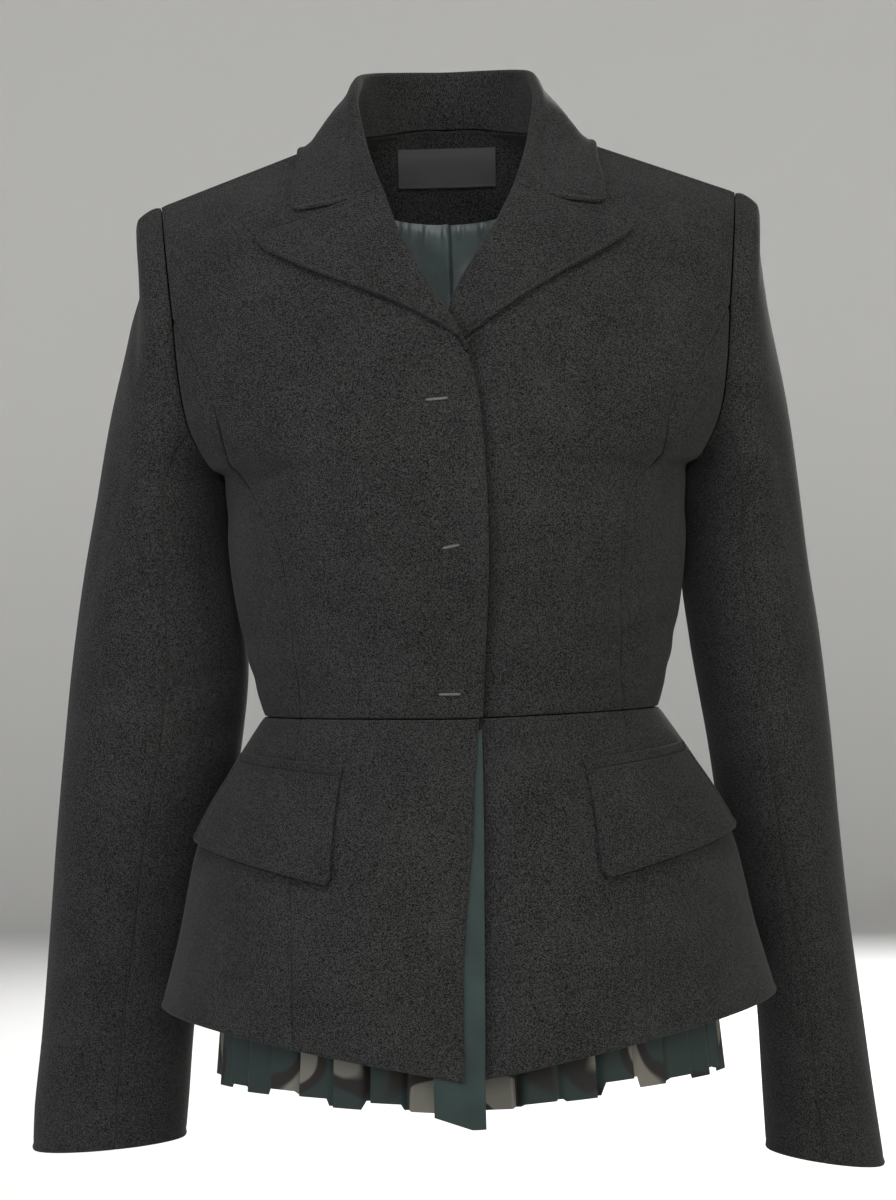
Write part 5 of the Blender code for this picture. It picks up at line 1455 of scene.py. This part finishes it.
def wool_finish(colours):
    """Felted wool: a faint diagonal twill under short mixed fibres, slightly cloudy, with a soft bloom."""
    material, tree, shader = new_finish(
        "felted_wool", roughness=0.95, sheen=0.03, sheen_roughness=0.55, specular=0.12)
    solid = solid_coordinates(tree)
    fibres = noise(tree, solid, scale=1.12, detail=1.5, roughness=0.70)
    clouds = noise(tree, solid, scale=0.03, detail=2.0, roughness=0.5)
    twill = weave(tree, cloth_coordinates(tree, turn=58.0), pitch=1.3, distortion=2.2)
    tone = blend(tree, blend(tree, fibres, twill, share=0.10), clouds, share=0.10)
    set_colour(tree, shader, tone, ((0.49, colours.wool_dark), (0.76, colours.wool_light)))
    add_bump(tree, shader, blend(tree, fibres, twill, share=0.35), distance=0.10, strength=0.40)
    return material


def satin_finish(colours):
    """Satin lining: smooth and lustrous, with hair-fine lengthwise floats."""
    material, tree, shader = new_finish(
        "satin_lining", roughness=0.36, sheen=0.25, sheen_roughness=0.30, specular=0.55)
    flat = cloth_coordinates(tree)
    floats = weave(tree, flat, pitch=0.35, distortion=0.6)
    clouds = noise(tree, flat, scale=0.05, detail=2.0, roughness=0.5)
    tone = blend(tree, clouds, floats, share=0.25)
    dark, light = shade(colours.satin, 0.7), shade(colours.satin, 1.35)
    set_colour(tree, shader, tone, ((0.3, dark), (0.9, light)))
    add_bump(tree, shader, floats, distance=0.03, strength=0.4)
    return material


def chiffon_finish(colours):
    """Printed chiffon: green ground with scattered pale and dark patches, on a fine crinkled weave."""
    material, tree, shader = new_finish(
        "printed_chiffon", roughness=0.62, sheen=0.08, sheen_roughness=0.40, specular=0.20)
    flat = cloth_coordinates(tree)
    patches = noise(tree, flat, scale=0.015, detail=0.8, roughness=0.4)
    crinkle = crepe(tree, flat)
    ground, pale, brown = colours.chiffon, colours.chiffon_pale, colours.chiffon_brown
    stops = (
        (0.0, pale), (0.385, pale), (0.40, brown), (0.445, brown), (0.46, ground), (0.60, ground),
        (0.615, brown), (0.66, brown), (0.67, pale), (1.0, pale),
    )
    set_colour(tree, shader, blend(tree, patches, crinkle, share=0.02), stops)
    add_bump(tree, shader, crinkle, distance=0.06, strength=0.5)
    return material


def plain_chiffon_finish(colours):
    """Unprinted chiffon in the ground colour, on the same crinkled weave."""
    material, tree, shader = new_finish(
        "plain_chiffon", roughness=0.60, sheen=0.06, sheen_roughness=0.40, specular=0.16)
    flat = cloth_coordinates(tree)
    crinkle = crepe(tree, flat)
    clouds = noise(tree, flat, scale=0.04, detail=2.0, roughness=0.5)
    tone = blend(tree, clouds, crinkle, share=0.35)
    dark, light = shade(colours.chiffon, 0.75), shade(colours.chiffon, 1.35)
    set_colour(tree, shader, tone, ((0.4, dark), (0.95, light)))
    add_bump(tree, shader, crinkle, distance=0.06, strength=0.5)
    return material


def label_finish(colours):
    """Woven label: fine crosswise ribs with a dull shine."""
    material, tree, shader = new_finish(
        "woven_label", roughness=0.48, sheen=0.10, sheen_roughness=0.30, specular=0.45)
    ribs = weave(tree, cloth_coordinates(tree, turn=90.0), pitch=0.55, distortion=0.3)
    dark, light = shade(colours.label, 0.8), shade(colours.label, 1.6)
    set_colour(tree, shader, ribs, ((0.1, dark), (0.9, light)))
    add_bump(tree, shader, ribs, distance=0.08, strength=0.6)
    return material


def thread_finish(colours):
    """Corded thread: strands laid side by side."""
    material, tree, shader = new_finish(
        "corded_thread", roughness=0.55, sheen=0.15, sheen_roughness=0.40, specular=0.40)
    strands = weave(tree, cloth_coordinates(tree), pitch=0.37, distortion=0.8)
    set_colour(tree, shader, strands, ((0.0, shade(colours.thread, 0.55)), (0.8, colours.thread)))
    add_bump(tree, shader, strands, distance=0.10, strength=0.6)
    return material


FINISHES = {
    "wool": wool_finish,
    "satin": satin_finish,
    "chiffon": chiffon_finish,
    "plain_chiffon": plain_chiffon_finish,
    "label": label_finish,
    "thread": thread_finish,
}
MADE = {}


def finish(look):
    """The material of a look, made the first time that a piece asks for it."""
    if look not in MADE:
        MADE[look] = FINISHES[look](bpy.context.scene.blazer_colours)
    return MADE[look]


class BLAZER_OT_body(bpy.types.Operator):
    """Make the front, side and back panels above the waist seam."""

    bl_idname = "blazer.body"
    bl_label = "Body panels"

    def execute(self, context):
        sizes = context.scene.blazer_sizes
        spacing = millimetres(sizes.spacing)
        front_places = fine_places(FRONT, FRONT_STOPS, spacing)
        front_armhole_x = reach_at(FRONT, front_places)
        back_places = fine_places(BACK, BACK_STOPS, spacing)
        neck_x = line_x(BACK_NECKLINE, back_places)
        back_inner = np.where(back_places <= NECK_PLACE_BACK, 0.0, neck_x)
        back_armhole_x = reach_at(BACK, back_places)
        back_princess_x = line_x(BACK_PRINCESS, back_places)
        back_outer = np.where(back_places < PRINCESS_TOP, back_princess_x, back_armhole_x)
        for side, name in SIDE_NAMES.items():
            gape = FRONT_GAPE if side == RIGHT else None
            princess_x = line_x(FRONT_PRINCESS[side], front_places)
            front_inner = front_inner_x(front_places, side)
            front_outer = np.where(front_places < PRINCESS_TOP, princess_x, front_armhole_x)
            front = body_panel(FRONT, front_places, front_inner, front_outer, side, sizes,
                               FRONT_FOLDS[side], (SEAM, FLAT_SEAM, TURNED, SEAM), gape)
            add_cloth(f"front_{name}", front, "wool", side)
            back = body_panel(BACK, back_places, back_inner, back_outer, LEFT, sizes, BACK_FOLDS,
                              (SEAM, FLAT_SEAM, SEAM, SEAM))
            add_cloth(f"back_{name}", back, "wool", side)
            add_cloth(f"side_{name}", side_cloth(side, sizes), "wool", side)
        return {"FINISHED"}


class BLAZER_OT_lapels(bpy.types.Operator):
    """Make the lapels: the front's cloth folded back at the roll line."""

    bl_idname = "blazer.lapels"
    bl_label = "Lapels"

    def execute(self, context):
        sizes = context.scene.blazer_sizes
        spacing = millimetres(sizes.spacing) * TURNED_FINENESS
        borders = (TURNED, TURNED, FLAT_SEAM, TURNED)
        for side, name in SIDE_NAMES.items():
            control = lapel_rows(side, sizes)
            points = tucked(spline(spline(control, spacing, axis=1), spacing, axis=0), side)
            points = edge_loops(points)
            start = np.clip((points[..., 2] - LAPEL_THIN_Z) / (LAPEL_FULL_Z - LAPEL_THIN_Z), 0, 1)
            thickness = millimetres(sizes.collar) * (LAPEL_THIN + (1 - LAPEL_THIN) * start)
            cloth = grid_cloth(points, turned_normals(points), thickness, borders, 0.0, sewn_share(points))
            add_cloth(f"lapel_{name}", cloth, "wool", side)
        return {"FINISHED"}


class BLAZER_OT_collar(bpy.types.Operator):
    """Make the collar, stand and fall in one, with a groove along its stand seam."""

    bl_idname = "blazer.collar"
    bl_label = "Collar"

    def execute(self, context):
        sizes = context.scene.blazer_sizes
        points = collar_grid(sizes)
        normals = turned_normals(points)
        across, seam = stand_seam(points)
        groove = -STAND_SEAM_DEPTH * np.exp(-((across - seam) / STAND_SEAM_WIDTH) ** 2)
        borders = (TURNED, TURNED, FLAT_SEAM, TURNED)
        cloth = grid_cloth(points, normals, millimetres(sizes.collar), borders, groove, sewn_share(points))
        add_cloth("collar", cloth, "wool", LEFT)
        return {"FINISHED"}


class BLAZER_OT_sleeves(bpy.types.Operator):
    """Make the two-piece sleeves with roped heads and open cuffs."""

    bl_idname = "blazer.sleeves"
    bl_label = "Sleeves"

    def execute(self, context):
        sizes = context.scene.blazer_sizes
        for side, name in SIDE_NAMES.items():
            for part in ("upper", "under"):
                add_cloth(f"sleeve_{part}_{name}", sleeve_part(side, part, sizes), "wool", side)
        return {"FINISHED"}


class BLAZER_OT_peplum(bpy.types.Operator):
    """Make the peplum's fronts, sides and backs below the waist seam."""

    bl_idname = "blazer.peplum"
    bl_label = "Peplum"

    def execute(self, context):
        sizes = context.scene.blazer_sizes
        places = fine_places(PEPLUM_FRONT, PEPLUM_STOPS, millimetres(sizes.spacing))
        seam_x = line_x(PEPLUM_SEAM, places)
        back_x = line_x(PEPLUM_BACK_SEAM, places)
        edge_x = reach_at(PEPLUM_FRONT, places)
        for side, name in SIDE_NAMES.items():
            under_x = np.full(len(places), PEPLUM_UNDER_EDGE_X)
            inner_x = line_x(PEPLUM_EDGE, places) if side == RIGHT else under_x
            front = panel_points(PEPLUM_FRONT, places, inner_x, seam_x, PEPLUM_FRONT_COLUMNS)
            self.add(f"peplum_front_{name}", tucked(front, side), (SEAM, HEMMED, TURNED, SEAM), side, sizes)
            back = panel_points(PEPLUM_BACK, places, 0 * places, back_x, PEPLUM_BACK_COLUMNS)
            self.add(f"peplum_back_{name}", back, (SEAM, HEMMED, SEAM, SEAM), side, sizes)
            ahead = panel_points(PEPLUM_FRONT, places, seam_x, edge_x, PEPLUM_AHEAD_COLUMNS)
            behind = panel_points(PEPLUM_BACK, places, edge_x, back_x, PEPLUM_BEHIND_COLUMNS)
            round_side = np.concatenate([ahead, behind[:, 1:]], axis=1)
            self.add(f"peplum_side_{name}", round_side, (SEAM, HEMMED, SEAM, SEAM), side, sizes)
        return {"FINISHED"}

    def add(self, node, points, borders, side, sizes):
        """One peplum panel, with soft flares in the fronts."""
        points = edge_loops(points)
        normals = grid_normals(points, points * np.array([1, 1, 0]))
        folds = PEPLUM_FOLDS[side] if "front" in node else ()
        relief = sizes.creases * fold_relief(folds, points[..., 0], points[..., 2])
        cloth = grid_cloth(points, normals, millimetres(sizes.wool), borders, relief)
        add_cloth(node, cloth, "wool", side)


class BLAZER_OT_pockets(bpy.types.Operator):
    """Make the pocket welts and flaps on the peplum."""

    bl_idname = "blazer.pockets"
    bl_label = "Pockets"

    def execute(self, context):
        sizes = context.scene.blazer_sizes
        for side, name in SIDE_NAMES.items():
            welt = self.cloth(welt_grid(), (TURNED, WELT_SEAM, TURNED, TURNED), sizes)
            welt = add_shell(f"pocket_welt_{name}", welt, "wool", side)
            flap = self.cloth(flap_grid(), (WELT_SEAM, TURNED, TURNED, TURNED), sizes)
            add_cloth(f"pocket_flap_{name}", flap, "wool", side)
        return {"FINISHED"}

    def cloth(self, points, borders, sizes):
        """The cloth of a welt or flap, which faces the front and the side."""
        points = edge_loops(points)
        normals = grid_normals(points, np.array([1.0, -1.0, 0.0]))
        return grid_cloth(points, normals, millimetres(sizes.flap), borders)


class BLAZER_OT_underskirt(bpy.types.Operator):
    """Make the knife-pleated chiffon under-layer and the strip in the front slit."""

    bl_idname = "blazer.underskirt"
    bl_label = "Pleated layer"

    def execute(self, context):
        sizes = context.scene.blazer_sizes
        for side, name in SIDE_NAMES.items():
            add_cloth(f"underskirt_{name}", underskirt_cloth(side, sizes), "chiffon", side)
        add_cloth("underskirt_edge", strip_cloth(sizes), "plain_chiffon", RIGHT)
        return {"FINISHED"}


class BLAZER_OT_neck_inside(bpy.types.Operator):
    """Make the neck facing, the blank label and the back lining."""

    bl_idname = "blazer.neck_inside"
    bl_label = "Inside of the neck"

    def execute(self, context):
        sizes = context.scene.blazer_sizes
        level = -(millimetres(sizes.wool) + LINING_GAP)
        thickness = millimetres(sizes.lining)
        add_cloth("neck_facing", facing_cloth(level, thickness), "wool", LEFT)
        add_cloth("neck_label", label_cloth(level, thickness), "label", LEFT)
        add_cloth("back_lining", lining_cloth(level, thickness), "satin", LEFT)
        return {"FINISHED"}


class BLAZER_OT_closure_bars(bpy.types.Operator):
    """Make the three corded bars on the right front."""

    bl_idname = "blazer.closure_bars"
    bl_label = "Closure bars"

    def execute(self, context):
        share = np.linspace(-0.5, 0.5, BAR_STEPS_PER_RIDGE * BAR_RIDGES + 1)
        ends = (1 - np.abs(2 * share) ** BAR_END_POWER) ** 0.5
        ridges = 1 - BAR_RIDGE_DEPTH * np.cos(2 * np.pi * BAR_RIDGES * share)
        radii = np.maximum(BAR_HALF_HEIGHT * ends * ridges, BAR_END_RADIUS)
        for bar in BARS:
            x = bar.x + share * BAR_LENGTH
            places = bar.place - bar.tilt * share
            turns = turn_at(FRONT, places, x)
            centres = lifted(FRONT, places, turns, np.full(x.shape, BAR_LIFT)) * FLIP
            outward = surface_normal(FRONT, places, turns) * FLIP
            piece = add_thread(f"cord_{bar.name}", centres, outward, radii, "thread")
            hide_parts(bar.name)
        return {"FINISHED"}


class BLAZER_OT_stage(bpy.types.Operator):
    """Make the pale round floor with its swept wall, the soft lights and the camera."""

    bl_idname = "blazer.stage"
    bl_label = "Stage"

    def execute(self, context):
        self.add_floor(context)
        self.add_lights(context)
        self.add_camera(context)
        return {"FINISHED"}

    def add_floor(self, context):
        """A round floor that sweeps up into a wall.

        Its profile is a flat run, a quarter circle and an upright, turned about Z.
        """
        settings = context.scene.blazer_stage
        angle = np.linspace(0, np.pi / 2, STAGE_STEPS)
        sweep = FLOOR_RADIUS + SWEEP_RADIUS * np.sin(angle)
        radius = np.concatenate([[0.0], sweep, [FLOOR_RADIUS + SWEEP_RADIUS]])[:, None]
        climb = np.concatenate([[0.0], SWEEP_RADIUS * (1 - np.cos(angle)), [WALL_TOP]])[:, None]
        height = climb + settings.floor_drop
        turn = np.linspace(0, 2 * np.pi, STAGE_TURNS)
        rings = np.broadcast_arrays(np.cos(turn) * radius, np.sin(turn) * radius, height)
        points = np.stack(rings, axis=-1).reshape(-1, 3)
        mesh = bpy.data.meshes.new("floor")
        quads = grid_quads(len(radius), STAGE_TURNS)
        mesh.from_pydata(points.tolist(), [], quads.tolist(), shade_flat=False)
        material = bpy.data.materials.new("pale_floor")
        material.use_nodes = True
        shader = material.node_tree.nodes["Principled BSDF"]
        shader.inputs["Base Color"].default_value = (*context.scene.blazer_colours.floor, 1.0)
        shader.inputs["Roughness"].default_value = FLOOR_ROUGHNESS
        mesh.materials.append(material)
        floor = bpy.data.objects.new("floor", mesh)
        context.collection.objects.link(floor)

    def add_lights(self, context):
        """Large soft lamps aimed at the garment's middle, and an even light from all round."""
        settings = context.scene.blazer_stage
        for lamp in LAMPS:
            light = bpy.data.lights.new(lamp.name, "AREA")
            light.shape = "RECTANGLE"
            light.size, light.size_y = lamp.width, lamp.height
            light.energy = settings.light * lamp.share
            light.color = lamp.colour
            item = bpy.data.objects.new(lamp.name, light)
            item.location = (lamp.x, lamp.y, lamp.z)
            item.rotation_euler = (Vector(LAMP_AIM) - item.location).to_track_quat("-Z", "Y").to_euler()
            item.visible_camera = False
            context.collection.objects.link(item)
        world = bpy.data.worlds.new("even_light")
        world.use_nodes = True
        background = world.node_tree.nodes["Background"]
        background.inputs["Strength"].default_value = settings.sky
        background.inputs["Color"].default_value = (1.0, 1.0, 1.0, 1.0)
        context.scene.world = world
        context.scene.view_settings.view_transform = "Standard"

    def add_camera(self, context):
        """A camera level with the waist, looking straight at the front and rolled as the picture is."""
        settings = context.scene.blazer_stage
        camera = bpy.data.cameras.new("camera")
        camera.sensor_width = SENSOR
        camera.lens = settings.lens
        item = bpy.data.objects.new("camera", camera)
        level = Matrix.Rotation(np.pi / 2, 4, "X") @ Matrix.Rotation(np.radians(CAMERA_ROLL), 4, "Z")
        item.matrix_world = Matrix.Translation((CAMERA_X, -settings.distance, CAMERA_Z)) @ level
        context.collection.objects.link(item)
        context.scene.camera = item


class BLAZER_PT_panel(bpy.types.Panel):
    """Sizes, colours and the buttons that build each group of pieces."""

    bl_idname = "BLAZER_PT_panel"
    bl_label = "Peplum blazer"
    bl_space_type = "VIEW_3D"
    bl_region_type = "UI"
    bl_category = "Blazer"

    def draw(self, context):
        layout = self.layout
        scene = context.scene
        for group in (scene.blazer_sizes, scene.blazer_colours, scene.blazer_stage):
            box = layout.box()
            for name in group.__annotations__:
                box.prop(group, name)
        for operator in OPERATORS:
            layout.operator(operator.bl_idname)


GROUPS = {"blazer_sizes": BlazerSizes, "blazer_colours": BlazerColours, "blazer_stage": BlazerStage}
OPERATORS = (
    BLAZER_OT_body, BLAZER_OT_lapels, BLAZER_OT_collar, BLAZER_OT_sleeves, BLAZER_OT_peplum,
    BLAZER_OT_pockets, BLAZER_OT_underskirt, BLAZER_OT_neck_inside, BLAZER_OT_closure_bars, BLAZER_OT_stage,
)


def register():
    """Register the classes and hang their settings on the scene."""
    for item in (*GROUPS.values(), *OPERATORS, BLAZER_PT_panel):
        bpy.utils.register_class(item)
    for name, group in GROUPS.items():
        setattr(bpy.types.Scene, name, bpy.props.PointerProperty(type=group))


def unregister():
    """Take the settings off the scene and unregister the classes."""
    for name in GROUPS:
        delattr(bpy.types.Scene, name)
    for item in reversed((*GROUPS.values(), *OPERATORS, BLAZER_PT_panel)):
        bpy.utils.unregister_class(item)


def main():
    """Build every piece and the stage."""
    register()
    bpy.ops.blazer.body()
    bpy.ops.blazer.lapels()
    bpy.ops.blazer.collar()
    bpy.ops.blazer.sleeves()
    bpy.ops.blazer.peplum()
    bpy.ops.blazer.pockets()
    bpy.ops.blazer.underskirt()
    bpy.ops.blazer.neck_inside()
    bpy.ops.blazer.closure_bars()
    bpy.ops.blazer.stage()


if __name__ == "__main__":
    main()
